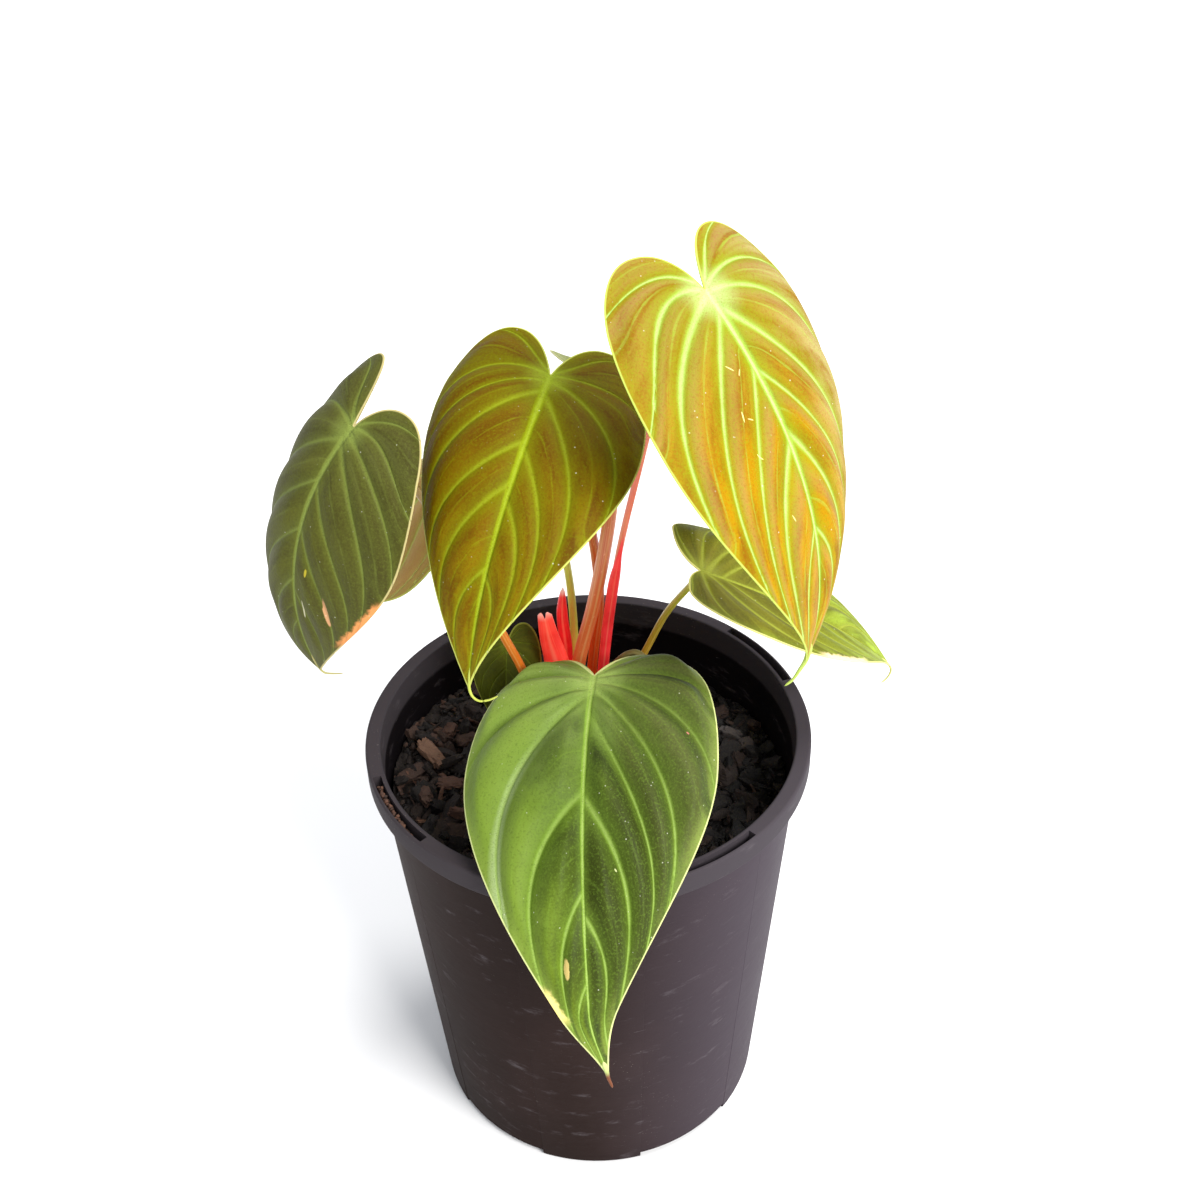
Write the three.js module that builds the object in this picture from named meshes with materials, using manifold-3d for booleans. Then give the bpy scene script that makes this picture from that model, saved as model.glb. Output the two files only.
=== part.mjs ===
// A young philodendron with eight heart-shaped leaves, growing in a round plastic nursery pot.
// Millimetres, +Z up. The origin is the centre of the pot's underside, on the surface it stands on.
// The viewer stands at -Y, so +X is the viewer's right and a heading of 0 points at the viewer.

import * as THREE from "three";
import { mergeVertices } from "three/addons/utils/BufferGeometryUtils.js";
import Module from "manifold-3d";

const wasm = await Module();
wasm.setup();

// Driving dimensions

const GAP = 0.3; // air between two pieces that touch

const POT = {
  height: 150,
  rimRadius: 70, // outside of the rim
  mouthRadius: 65.2, // inside of the rim
  rimHeight: 7.8,
  wall: 1.2,
  footRadius: 55.6,
  footWidth: 5,
  footHeight: 2.6,
  floor: 2,
  padRadius: 9, // round pad under the middle of the floor
  edge: 0.6, // small bevels on the rim
  sides: 64,
};

const SLOTS = { count: 4, firstAngle: 30, arc: 27, inner: 66.5, outer: 69.1, depth: 6 };
const FEET = { count: 5, firstAngle: -94.5, notchArc: 37 };
const DRAINS = { count: 8, ring: 41, radius: 4 };

const SOIL = {
  level: 130,
  slope: 0.05, // the soil is heaped at the front left
  roughness: 1.1,
  rings: 7,
  chips: 54,
  chipSize: [3.2, 8], // half length of the smallest and the largest piece of bark
};

const CROWN = { x: -2, y: 16.5, radiusX: 14.5, radiusY: 11, bottom: 112, top: 137 };

const BLADE = { top: 0.45, bottom: 0.4, ridge: 1.3 }; // half thicknesses and the midrib's depth

// Leaf blades. position is where the petiole meets the blade, heading is the way that the tip points
// and pitch is the slope of the midrib at its two ends. sinus is how far the notch between the
// lobes gapes, as a share of the half width. hook is how far the tip bends towards +X. In each pair
// the second number is for the half that lies on +X when the heading is 0, and on +Y when it is 90.
const LEAVES = {
  gold: {
    position: [33, -14.5, 306.5], length: 113, halfWidth: [36, 36], lobe: [15, 17], sinus: [0, 0.05],
    lobeAcross: 0.4, widest: [0.29, 0.29], neck: [0.39, 0.39], heading: 38, turn: 24,
    pitch: [-33, -104], roll: 2, twist: -4, fold: [4, 5], droop: [24, 45], lobeCurl: 0,
    color: 0xb98f1c,
  },
  olive: {
    position: [-6.5, 0.5, 275.5], length: 95, halfWidth: [32.5, 30.5], lobe: [17, 16],
    sinus: [0.06, 0.02], lobeAcross: 0.45, widest: [0.22, 0.22], neck: [0.29, 0.14], heading: -13,
    turn: -24, pitch: [-3, -83], roll: -16, twist: 18, fold: [8, 4], droop: [65, 25],
    lobeCurl: -13, color: 0x7a6a14,
  },
  left: {
    position: [-57.5, -19, 273.5], length: 81.5, halfWidth: [27.5, 31], lobe: [18, 12],
    sinus: [0.06, 0], lobeAcross: 0.37, widest: [0.39, 0.35], neck: [0.42, 0.47], heading: -65,
    turn: 8, pitch: [-41, -110], roll: -18, twist: -1, fold: [5, -1], droop: [72, 28],
    lobeCurl: 5, color: 0x4f5a2a,
  },
  front: {
    position: [2.5, -11, 180], length: 127, halfWidth: [37.5, 39], lobe: [17, 18],
    sinus: [0.16, 0.14], lobeAcross: 0.43, widest: [0.24, 0.24], neck: [0.1, 0.1], heading: -9,
    turn: 15, pitch: [0, -81], roll: 5, twist: -18, fold: [-6, -2], droop: [22, 19],
    lobeCurl: 44, hook: 4.5, color: 0x64813a,
  },
  right: {
    position: [35, 8.5, 203], length: 86, halfWidth: [25, 26], lobe: [5, 9], sinus: [0.12, 0.04],
    lobeAcross: 0.6, widest: [0.27, 0.27], neck: [0.3, 0.3], heading: 88, turn: 32,
    pitch: [-24, -52], roll: 1, twist: 18, fold: [16, 16], droop: [19, 35], lobeCurl: 2,
    color: 0x5a7428,
  },
  back_left: {
    position: [-22, 18.5, 245.5], length: 85, halfWidth: [23.5, 24], lobe: [12, 12],
    sinus: [0.05, 0.05], lobeAcross: 0.45, widest: [0.22, 0.48], neck: [0.26, 0.4], heading: -98.5,
    turn: 0, pitch: [-31.5, -76], roll: -19, twist: 0, fold: [8, 8], droop: [41, 42],
    lobeCurl: 0, color: 0x8a7040,
  },
  low: {
    position: [-24.5, 19.5, 170.5], length: 36, halfWidth: [12, 11.5], lobe: [7, 6.5],
    sinus: [0.05, 0.05], lobeAcross: 0.45, widest: [0.24, 0.24], neck: [0.25, 0.25], heading: -14,
    turn: 0, pitch: [-66, -88], roll: 0, twist: 0, fold: [8, 8], droop: [25, 25], lobeCurl: 0,
    color: 0x4c5c18,
  },
  back: {
    position: [10, 42, 248], length: 74, halfWidth: [26, 26], lobe: [17, 17], sinus: [0.05, 0.05],
    lobeAcross: 0.45, widest: [0.24, 0.24], neck: [0.25, 0.25], heading: 99, turn: 0,
    pitch: [-23.5, -62], roll: -10.5, twist: 0, fold: [6, 10], droop: [25, 25], lobeCurl: -12,
    color: 0x6f7a3c,
  },
};

// Petioles: radius, and the points that each passes between the crown and its leaf.
const SOCKET_Z = 132; // the foot of every petiole, inside the crown
const PETIOLES = {
  gold: { radius: 1.05, color: 0xd07848,
    path: [[4, 16], [5.5, 15, 161], [8.5, 11.5, 191], [11.5, 8, 213], [17, 4, 242], [24, -1, 275]] },
  olive: { radius: 1.6, color: 0xa8441c,
    path: [[1, 20.5], [2.3, 20.5, 160], [5, 20, 185], [4.3, 19.5, 202], [2.5, 17, 218], [-1.5, 9, 249]] },
  left: { radius: 1.4, color: 0xb5602a,
    path: [[-9.5, 9.8], [-14.5, 7, 150], [-20, 4.6, 171.5], [-24, 1.2, 185.5], [-33, -6.5, 217],
      [-45, -12, 250]] },
  front: { radius: 1.8, color: 0xc05030,
    path: [[1.5, 10.5], [2.5, 7.5, 145], [3, 1, 162]] },
  right: { radius: 1.2, color: 0xa89a30,
    path: [[8.5, 17], [11, 19.5, 147], [19, 18, 165], [26, 15, 183]] },
  back_left: { radius: 1.3, color: 0x9aa040,
    path: [[-3, 24], [-3.2, 24.5, 165], [-4.2, 25.5, 190], [-7.5, 26, 212], [-12.5, 24.5, 227]] },
  low: { radius: 1.2, color: 0x9a9030,
    path: [[-12, 20.5], [-15.5, 22.5, 148], [-18.5, 24, 162], [-21.5, 23.5, 168]] },
  back: { radius: 2.2, color: 0xc85a30,
    path: [[-4.5, 14.5], [-2.5, 13.5, 163], [3, 13, 188], [7, 14.5, 208], [9.5, 19, 222], [11.5, 30, 237]] },
};

// Sheaths that held the young leaves. width and depth are at the foot, the middle and the tip.
const SHEATHS = {
  sheath_red_large: {
    path: [[-10.2, 14.5, SOCKET_Z], [-9.5, 13, 150], [-9, 12, 166], [-11, 11.5, 178], [-12.2, 10.5, 188.5]],
    width: [6, 8, 3.6], depth: [4, 4.5, 2], notch: 3.4, color: 0xe23a35,
  },
  sheath_red_small: {
    path: [[-7.3, 20.3, SOCKET_Z], [-6.5, 21, 150], [-6.1, 21, 166], [-6.8, 20, 180], [-6.2, 19, 191]],
    width: [3.6, 3.8, 1], depth: [2.6, 2.8, 0.8], notch: 0, color: 0xc8262c,
  },
};

const CLASP = { from: 0.03, to: 0.44, wall: 0.65, open: 120, color: 0xcf3348 }; // round the gold petiole

const AERIAL_ROOT = {
  radius: 0.9, color: 0x77703a,
  path: [[5, 21.5], [7.5, 20, 150], [10.5, 14.5, 165], [15.7, 13, 169], [20, 12.5, 165],
    [24.5, 11.5, 150], [25.5, 11, 128]],
};

const RIM_CRUMBS = { slot: 2, count: 12, size: 1.15, color: 0x6e4632 }; // bark spilt into one slot

// Helpers

const radians = THREE.MathUtils.degToRad;
const mix = THREE.MathUtils.lerp;
const clamp = THREE.MathUtils.clamp;

// The same sequence of draws on every run.
function randomSource(seed) {
  let state = seed;
  return (low = 0, high = 1) => {
    state = (state * 1664525 + 1013904223) % 4294967296;
    return mix(low, high, state / 4294967296);
  };
}

function toSolid(geometry) {
  const bare = new THREE.BufferGeometry();
  const source = geometry.index ? geometry.toNonIndexed() : geometry;
  bare.setAttribute("position", source.getAttribute("position"));
  const merged = mergeVertices(bare, 1e-4);
  return new wasm.Manifold(new wasm.Mesh({
    numProp: 3,
    vertProperties: merged.getAttribute("position").array,
    triVerts: new Uint32Array(merged.index.array),
  }));
}

function toGeometry(solid) {
  const mesh = solid.getMesh();
  const geometry = new THREE.BufferGeometry();
  geometry.setAttribute("position", new THREE.BufferAttribute(mesh.vertProperties, mesh.numProp));
  geometry.setIndex(new THREE.BufferAttribute(mesh.triVerts, 1));
  geometry.computeVertexNormals();
  return geometry;
}

function lathe(profile, sides) {
  return new THREE.LatheGeometry(profile.map(([r, z]) => new THREE.Vector2(r, z)), sides)
    .rotateX(Math.PI / 2);
}

// An arc-shaped block between two radii, centred on an angle, standing on z.
function arcBlock(inner, outer, angle, arc, z, height) {
  const start = radians(angle - arc / 2);
  const end = radians(angle + arc / 2);
  const shape = new THREE.Shape();
  shape.absarc(0, 0, outer, start, end, false);
  shape.absarc(0, 0, inner, end, start, true);
  return new THREE.ExtrudeGeometry(shape, { depth: height, bevelEnabled: false, curveSegments: 6 })
    .translate(0, 0, z);
}

function curveThrough(points) {
  return new THREE.CatmullRomCurve3(points.map((p) => new THREE.Vector3(...p)), false, "centripetal");
}

function tube(curve, radius, steps, sides = 8) {
  const section = new THREE.Shape();
  for (let i = 0; i < sides; i++) {
    const a = (2 * Math.PI * i) / sides;
    if (i === 0) section.moveTo(radius * Math.cos(a), radius * Math.sin(a));
    else section.lineTo(radius * Math.cos(a), radius * Math.sin(a));
  }
  section.closePath();
  return new THREE.ExtrudeGeometry(section, { steps, extrudePath: curve, bevelEnabled: false });
}

// A closed surface from a grid of points: rings of equal length, capped at both ends by a fan.
function loft(rings) {
  const positions = [];
  const triangle = (a, b, c) => positions.push(...a, ...b, ...c);
  const centre = (ring) => ring
    .reduce((sum, p) => sum.map((v, i) => v + p[i] / ring.length), [0, 0, 0]);
  const count = rings[0].length;
  for (let r = 0; r + 1 < rings.length; r++) {
    for (let i = 0; i < count; i++) {
      const j = (i + 1) % count;
      triangle(rings[r][i], rings[r][j], rings[r + 1][j]);
      triangle(rings[r][i], rings[r + 1][j], rings[r + 1][i]);
    }
  }
  const first = rings[0];
  const last = rings[rings.length - 1];
  for (let i = 0; i < count; i++) {
    const j = (i + 1) % count;
    triangle(centre(first), first[j], first[i]);
    triangle(centre(last), last[i], last[j]);
  }
  const geometry = new THREE.BufferGeometry();
  geometry.setAttribute("position", new THREE.Float32BufferAttribute(positions, 3));
  return geometry;
}

// Rings of a section function carried along a curve; the section's x points to the viewer's right.
function sweep(curve, steps, section) {
  const rings = [];
  for (let s = 0; s <= steps; s++) {
    const t = s / steps;
    const point = curve.getPointAt(t);
    const tangent = curve.getTangentAt(t);
    const right = new THREE.Vector3(1, 0, 0).addScaledVector(tangent, -tangent.x).normalize();
    const forward = new THREE.Vector3().crossVectors(tangent, right);
    rings.push(section(t).map(([x, y]) => new THREE.Vector3()
      .copy(point).addScaledVector(right, x).addScaledVector(forward, y).toArray()));
  }
  return rings;
}

// Leaf blade

// The outline of one half, flat: u runs along the midrib, v across it. share 0 is the notch where
// the petiole joins, LOBE_END the back of the lobe, WIDEST_END the widest place and 1 the tip.
const LOBE_END = 0.14;
const WIDEST_END = 0.42;

function outlinePoint(leaf, side, share) {
  const width = leaf.halfWidth[side];
  const back = leaf.lobe[side];
  const across = leaf.lobeAcross * width;
  const wide = leaf.widest[side] * leaf.length;
  const gape = leaf.sinus[side];
  const cubic = (points, t) => {
    const curve = new THREE.CubicBezierCurve(...points.map(([u, v]) => new THREE.Vector2(u, v)));
    return curve.getPoint(t);
  };
  if (share < LOBE_END) {
    const inner = [[0, 0], [-0.35 * back, (0.02 + 0.8 * gape) * width],
      [-back, (0.12 + gape) * width], [-back, across]];
    return cubic(inner, share / LOBE_END);
  }
  if (share < WIDEST_END) {
    const shoulder = [[-back, across], [-back, (across + width) / 2],
      [wide - 0.26 * leaf.length, width], [wide, width]];
    return cubic(shoulder, (share - LOBE_END) / (WIDEST_END - LOBE_END));
  }
  const flank = [[wide, width], [wide + 0.28 * leaf.length, width],
    [0.8 * leaf.length, leaf.neck[side] * width], [leaf.length, 0]];
  return cubic(flank, (share - WIDEST_END) / (1 - WIDEST_END));
}

// A point of one half between the midrib (q = 0) and the outline (q = 1), along a side vein.
// The side veins near the notch all start there, and the others leave the midrib in turn.
const LAST_BASAL = 0.36;
const VEIN_BEND = 0.3;

function bladePoint(leaf, side, share, q) {
  const edge = outlinePoint(leaf, side, share);
  const along = clamp((share - LAST_BASAL) / (1 - LAST_BASAL), 0, 1);
  const start = leaf.length * along ** 1.25;
  const bend = VEIN_BEND * Math.min(share / 0.22, 1) * Math.min((1 - share) / 0.15, 1);
  const du = edge.x - start;
  const dv = edge.y;
  const middle = [start + du / 2 - (dv * bend) / 2, dv / 2 + (du * bend) / 2];
  const blend = (a, b, c) => (1 - q) ** 2 * a + 2 * (1 - q) * q * b + q ** 2 * c;
  return { u: blend(start, middle[0], edge.x), v: blend(0, middle[1], edge.y) };
}

// The midrib as a curve in space: its direction follows the pitch and the heading along the leaf.
function midribFrames(leaf) {
  const step = 0.01;
  const first = -0.4;
  const direction = (x) => {
    const ahead = Math.max(x, 0);
    const behind = Math.max(-x, 0);
    const pitch = radians(mix(leaf.pitch[0], leaf.pitch[1], ahead) + (leaf.lobeCurl * behind) / 0.2);
    const heading = radians(leaf.heading + leaf.turn * ahead);
    const along = new THREE.Vector3(
      Math.sin(heading) * Math.cos(pitch), -Math.cos(heading) * Math.cos(pitch), Math.sin(pitch));
    const level = new THREE.Vector3(Math.cos(heading), Math.sin(heading), 0);
    return { along, level, roll: radians(leaf.roll + leaf.twist * ahead) };
  };
  const table = [new THREE.Vector3()];
  for (let x = first; x < 1.01; x += step) {
    const next = direction(x + step / 2).along.multiplyScalar(step * leaf.length);
    table.push(next.add(table[table.length - 1]));
  }
  const lookUp = (x) => {
    const place = (x - first) / step;
    const low = clamp(Math.floor(place), 0, table.length - 2);
    return new THREE.Vector3().lerpVectors(table[low], table[low + 1], place - low);
  };
  const start = new THREE.Vector3(...leaf.position).sub(lookUp(0));
  return (u) => {
    const x = u / leaf.length;
    const { along, level, roll } = direction(x);
    const up = new THREE.Vector3().crossVectors(along, level);
    const across = level.clone().multiplyScalar(Math.cos(roll)).addScaledVector(up, Math.sin(roll));
    const normal = level.clone().multiplyScalar(-Math.sin(roll)).addScaledVector(up, Math.cos(roll));
    const hook = (leaf.hook ?? 0) * THREE.MathUtils.smoothstep(x, 0.82, 1.02);
    return { point: lookUp(x).add(start).addScaledVector(level, hook), along, across, normal };
  };
}

// Each half rises from the midrib at its fold angle and bends down towards the margin by its droop.
function placeOnBlade(leaf, frames, side, { u, v }) {
  const { point, across, normal } = frames(u);
  const sign = side === 1 ? 1 : -1;
  const fold = radians(leaf.fold[side]);
  const bend = radians(leaf.droop[side]) / leaf.halfWidth[side];
  const angle = fold - bend * v;
  const out = (Math.sin(fold) - Math.sin(angle)) / bend;
  const rise = (Math.cos(angle) - Math.cos(fold)) / bend;
  const place = point.clone().addScaledVector(across, sign * out).addScaledVector(normal, rise);
  const tilt = v > 0 ? angle : 0;
  const face = across.clone().multiplyScalar(-sign * Math.sin(tilt))
    .addScaledVector(normal, Math.cos(tilt));
  return { place, face };
}

const SHARES = [0, 0.035, 0.07, 0.105, 0.14, 0.19, 0.25, 0.31, 0.37, 0.42, 0.49, 0.56, 0.63, 0.7,
  0.77, 0.84, 0.9, 0.95, 1];
const ACROSS = [0, 0.09, 0.32, 0.56, 0.8, 1];

// Both faces carry the same triangles, so the thin blade never crosses itself.
function bladeGeometry(leaf) {
  const frames = midribFrames(leaf);
  const positions = [];
  const triangle = (a, b, c) => positions.push(...a, ...b, ...c);
  for (const side of [0, 1]) {
    const grid = SHARES.map((share) => ACROSS.map((q) => {
      const { place, face } = placeOnBlade(leaf, frames, side, bladePoint(leaf, side, share, q));
      const depth = q === 0 ? BLADE.ridge : BLADE.bottom;
      return {
        top: place.clone().addScaledVector(face, BLADE.top).toArray(),
        bottom: place.clone().addScaledVector(face, -depth).toArray(),
      };
    }));
    const quad = (a, b, c, d) => {
      const order = side === 1 ? [a, b, c, d] : [a, d, c, b];
      triangle(order[0], order[1], order[2]);
      triangle(order[0], order[2], order[3]);
    };
    for (let i = 0; i + 1 < SHARES.length; i++) {
      for (let j = 0; j + 1 < ACROSS.length; j++) {
        const corners = [grid[i][j], grid[i][j + 1], grid[i + 1][j + 1], grid[i + 1][j]];
        // The diagonal joins corners 0 and 2 on both faces.
        quad(corners[0].top, corners[3].top, corners[2].top, corners[1].top);
        quad(corners[0].bottom, corners[1].bottom, corners[2].bottom, corners[3].bottom);
      }
      const near = grid[i][ACROSS.length - 1];
      const far = grid[i + 1][ACROSS.length - 1];
      quad(near.top, far.top, far.bottom, near.bottom);
    }
  }
  const geometry = new THREE.BufferGeometry();
  geometry.setAttribute("position", new THREE.Float32BufferAttribute(positions, 3));
  return geometry;
}

// Petioles, sheaths and the crown

// The petiole ends just under the blade's midrib at the notch.
function petioleCurve(name) {
  const leaf = LEAVES[name];
  const { radius, path } = PETIOLES[name];
  const { point, along, normal } = midribFrames(leaf)(0);
  const points = path.map(([x, y, z = SOCKET_Z]) => [x, y, z]);
  const last = new THREE.Vector3(...points[points.length - 1]);
  const arrival = new THREE.Vector3().subVectors(point, last).normalize();
  const overhang = radius * Math.sqrt(1 - arrival.dot(normal) ** 2);
  const end = point.clone().addScaledVector(normal, -(BLADE.ridge + GAP + overhang))
    .addScaledVector(along, radius);
  return curveThrough([...points, end.toArray()]);
}

function claspGeometry() {
  const whole = petioleCurve("gold");
  const points = [];
  for (let i = 0; i <= 10; i++) points.push(whole.getPointAt(mix(CLASP.from, CLASP.to, i / 10)));
  const curve = new THREE.CatmullRomCurve3(points);
  const inner = PETIOLES.gold.radius + GAP;
  const arcSteps = 6;
  const section = (t) => {
    const half = radians((360 - CLASP.open) / 2) * mix(1, 0.35, t ** 2);
    const wall = CLASP.wall * mix(1, 0.75, t);
    const arc = (radius, sign) => Array.from({ length: arcSteps + 1 }, (_, i) => {
      const a = -Math.PI / 2 + sign * mix(-half, half, i / arcSteps);
      return [radius * Math.cos(a), radius * Math.sin(a)];
    });
    return [...arc(inner + wall, 1), ...arc(inner, -1)];
  };
  return loft(sweep(curve, 10, section));
}

function sheathGeometry({ path, width, depth, notch }, grow = 0) {
  const curve = curveThrough(path);
  const sides = 10;
  const steps = 9;
  const section = (t) => Array.from({ length: sides }, (_, i) => {
    const a = (2 * Math.PI * i) / sides;
    const size = ([foot, middle, end]) => (t < 0.5
      ? mix(foot, middle, 2 * t)
      : mix(middle, end, (2 * t - 1) ** 1.3));
    return [(size(width) / 2 + grow) * Math.cos(a), (size(depth) / 2 + grow) * Math.sin(a)];
  });
  const body = loft(sweep(curve, steps, section));
  if (!notch || grow) return body;
  const tip = new THREE.Vector3(...path[path.length - 1]);
  const wedge = new THREE.ConeGeometry(width[2] * 0.36, notch * 2, 4)
    .rotateX(-Math.PI / 2).rotateZ(Math.PI / 4).scale(1, 4, 1)
    .translate(tip.x, tip.y, tip.z + 0.2);
  return toGeometry(toSolid(body).subtract(toSolid(wedge)));
}

function ellipticalBlock({ x, y, radiusX, radiusY, bottom, top }, grow) {
  return new THREE.CylinderGeometry(0.9, 1, top - bottom, 28, 2)
    .rotateX(Math.PI / 2)
    .scale(radiusX + grow, radiusY + grow, 1)
    .translate(x, y, (top + bottom) / 2);
}

// Pot

function potGeometry() {
  const top = POT.height;
  const ledge = top - POT.rimHeight;
  const floorTop = POT.footHeight + POT.floor;
  const wallFoot = POT.footRadius - POT.wall;
  const profile = [
    [0, 0],
    [POT.padRadius, 0],
    [POT.padRadius + 0.4, POT.footHeight],
    [POT.footRadius - POT.footWidth, POT.footHeight],
    [POT.footRadius - POT.footWidth + 0.4, 0],
    [POT.footRadius, 0],
    [POT.mouthRadius + POT.wall, ledge],
    [POT.rimRadius - POT.edge, ledge],
    [POT.rimRadius, ledge + POT.edge],
    [POT.rimRadius, top - POT.edge],
    [POT.rimRadius - POT.edge, top],
    [POT.mouthRadius + POT.edge / 2, top],
    [POT.mouthRadius, top - POT.edge],
    [wallFoot, floorTop],
    [0, floorTop],
  ];
  let pot = toSolid(lathe(profile, POT.sides));
  for (let i = 0; i < SLOTS.count; i++) {
    const angle = SLOTS.firstAngle + (360 / SLOTS.count) * i;
    const pocket = arcBlock(SLOTS.inner, SLOTS.outer, angle, SLOTS.arc, top - SLOTS.depth, 10);
    pot = pot.subtract(toSolid(pocket));
  }
  for (let i = 0; i < FEET.count; i++) {
    const angle = FEET.firstAngle + (360 / FEET.count) * (i + 0.5);
    const notch = arcBlock(POT.footRadius - POT.footWidth - 2, POT.footRadius + 3, angle,
      FEET.notchArc, -2, 2 + POT.footHeight);
    pot = pot.subtract(toSolid(notch));
  }
  for (let i = 0; i < DRAINS.count; i++) {
    const angle = radians((360 / DRAINS.count) * i);
    const hole = new THREE.CylinderGeometry(DRAINS.radius, DRAINS.radius, 12, 16)
      .rotateX(Math.PI / 2)
      .translate(DRAINS.ring * Math.cos(angle), DRAINS.ring * Math.sin(angle), 0);
    pot = pot.subtract(toSolid(hole));
  }
  return toGeometry(pot);
}

// Soil

function soilHeight(x, y) {
  const ripple = Math.sin(x * 0.31 + 1.3) * Math.cos(y * 0.27) + 0.6 * Math.sin(x * 0.13 - y * 0.19);
  return SOIL.level - SOIL.slope * (x + y) + SOIL.roughness * ripple;
}

function soilRadius(z) {
  const bottom = POT.footHeight + POT.floor;
  const share = (z - bottom) / (POT.height - POT.edge - bottom);
  return mix(POT.footRadius - POT.wall, POT.mouthRadius, share) - GAP;
}

function soilBody() {
  const bottom = POT.footHeight + POT.floor + GAP;
  const angleOf = (i) => (2 * Math.PI * i) / POT.sides;
  const ringAt = (radius, height) => Array.from({ length: POT.sides }, (_, i) => {
    const x = radius * Math.cos(angleOf(i));
    const y = radius * Math.sin(angleOf(i));
    return [x, y, height(x, y)];
  });
  const edge = soilRadius(SOIL.level - 8);
  const rings = [ringAt(soilRadius(bottom), () => bottom)];
  for (let r = SOIL.rings; r >= 1; r--) rings.push(ringAt((edge * r) / SOIL.rings, soilHeight));
  return toSolid(loft(rings));
}

// One flattened, angular piece of bark, lying at a random tilt.
function barkChip(random, length) {
  return new THREE.IcosahedronGeometry(1, 0)
    .scale(length, length * random(0.4, 0.7), length * random(0.25, 0.4))
    .rotateX(random(-0.7, 0.7))
    .rotateY(random(-0.5, 0.5))
    .rotateZ(random(0, 2 * Math.PI));
}

function soilGeometry(crownHole, rootHole) {
  const random = randomSource(11);
  let soil = soilBody();
  for (let i = 0; i < SOIL.chips; i++) {
    const length = mix(SOIL.chipSize[0], SOIL.chipSize[1], random() ** 2);
    const radius = Math.sqrt(random(0.06, 1)) * (soilRadius(SOIL.level - 6) - length - 0.6);
    const angle = random(0, 2 * Math.PI);
    const x = radius * Math.cos(angle);
    const y = radius * Math.sin(angle);
    const chip = barkChip(random, length).translate(x, y, soilHeight(x, y) + 0.1 * length);
    soil = soil.add(toSolid(chip));
  }
  soil = soil.subtract(crownHole).subtract(rootHole);
  const pieces = soil.decompose().sort((a, b) => b.volume() - a.volume());
  return toGeometry(pieces[0]);
}

// A row of bark crumbs that fills most of one slot in the rim.
function rimCrumbsGeometry() {
  const random = randomSource(5);
  const middle = (SLOTS.inner + SLOTS.outer) / 2;
  const angle = SLOTS.firstAngle + (360 / SLOTS.count) * RIM_CRUMBS.slot;
  const floor = POT.height - SLOTS.depth + GAP;
  const bed = arcBlock(middle - 0.8, middle + 0.8, angle - 2.5, SLOTS.arc - 8, floor, 2.6);
  let crumbs = toSolid(bed);
  for (let i = 0; i < RIM_CRUMBS.count; i++) {
    const a = radians(mix(angle - 11, angle + 6, (i + 0.5) / RIM_CRUMBS.count));
    const size = RIM_CRUMBS.size * random(0.7, 0.9);
    const crumb = new THREE.IcosahedronGeometry(size, 0)
      .rotateX(random(0, 3)).rotateY(random(0, 3))
      .translate(middle * Math.cos(a), middle * Math.sin(a), floor + random(2.2, 3.4));
    crumbs = crumbs.add(toSolid(crumb));
  }
  return toGeometry(crumbs);
}

// Assembly

const plant = new THREE.Group();

function addMesh(name, geometry, color, roughness = 0.6) {
  const material = new THREE.MeshStandardMaterial({ color, roughness, metalness: 0 });
  const mesh = new THREE.Mesh(geometry, material);
  mesh.name = name;
  plant.add(mesh);
}

const tubeSteps = (curve) => Math.max(6, Math.round(curve.getLength() / 9));

const rootCurve = curveThrough(AERIAL_ROOT.path.map(([x, y, z = SOCKET_Z]) => [x, y, z]));
const rootSteps = 16;

let crown = toSolid(ellipticalBlock(CROWN, 0));
for (const [name, { radius, color }] of Object.entries(PETIOLES)) {
  const curve = petioleCurve(name);
  const steps = tubeSteps(curve);
  addMesh("petiole_" + name, tube(curve, radius, steps), color, 0.45);
  crown = crown.subtract(toSolid(tube(curve, radius + GAP, steps)));
}
crown = crown.subtract(toSolid(tube(rootCurve, AERIAL_ROOT.radius + GAP, rootSteps)));

for (const [name, leaf] of Object.entries(LEAVES)) {
  addMesh("leaf_" + name, bladeGeometry(leaf), leaf.color, 0.6);
}

for (const [name, sheath] of Object.entries(SHEATHS)) {
  addMesh(name, sheathGeometry(sheath), sheath.color, 0.4);
  crown = crown.subtract(toSolid(sheathGeometry(sheath, 1.3 * GAP)));
}
addMesh("sheath_gold", claspGeometry(), CLASP.color, 0.4);
addMesh("aerial_root", tube(rootCurve, AERIAL_ROOT.radius, rootSteps), AERIAL_ROOT.color, 0.7);
addMesh("crown", toGeometry(crown), 0x8a5a3a, 0.7);

const crownHole = toSolid(ellipticalBlock({ ...CROWN, top: CROWN.top + 20 }, GAP + 0.4));
const rootHole = toSolid(tube(rootCurve, AERIAL_ROOT.radius + GAP, rootSteps));
addMesh("soil", soilGeometry(crownHole, rootHole), 0x2a211d, 0.95);
addMesh("rim_crumbs", rimCrumbsGeometry(), RIM_CRUMBS.color, 0.9);
addMesh("pot", potGeometry(), 0x2b2b2f, 0.4);

export default plant;
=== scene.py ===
"""Looks of a young philodendron with velvety heart-shaped leaves in a round black nursery pot.

The functions work in millimetres and the finished meshes are in metres, +Z up. The origin is the
centre of the pot's underside. The viewer stands at -Y, and a heading of 0 points at the viewer.
"""
import math
from types import SimpleNamespace

import bmesh
import bpy
import numpy as np
from mathutils import Matrix, Vector


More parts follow.
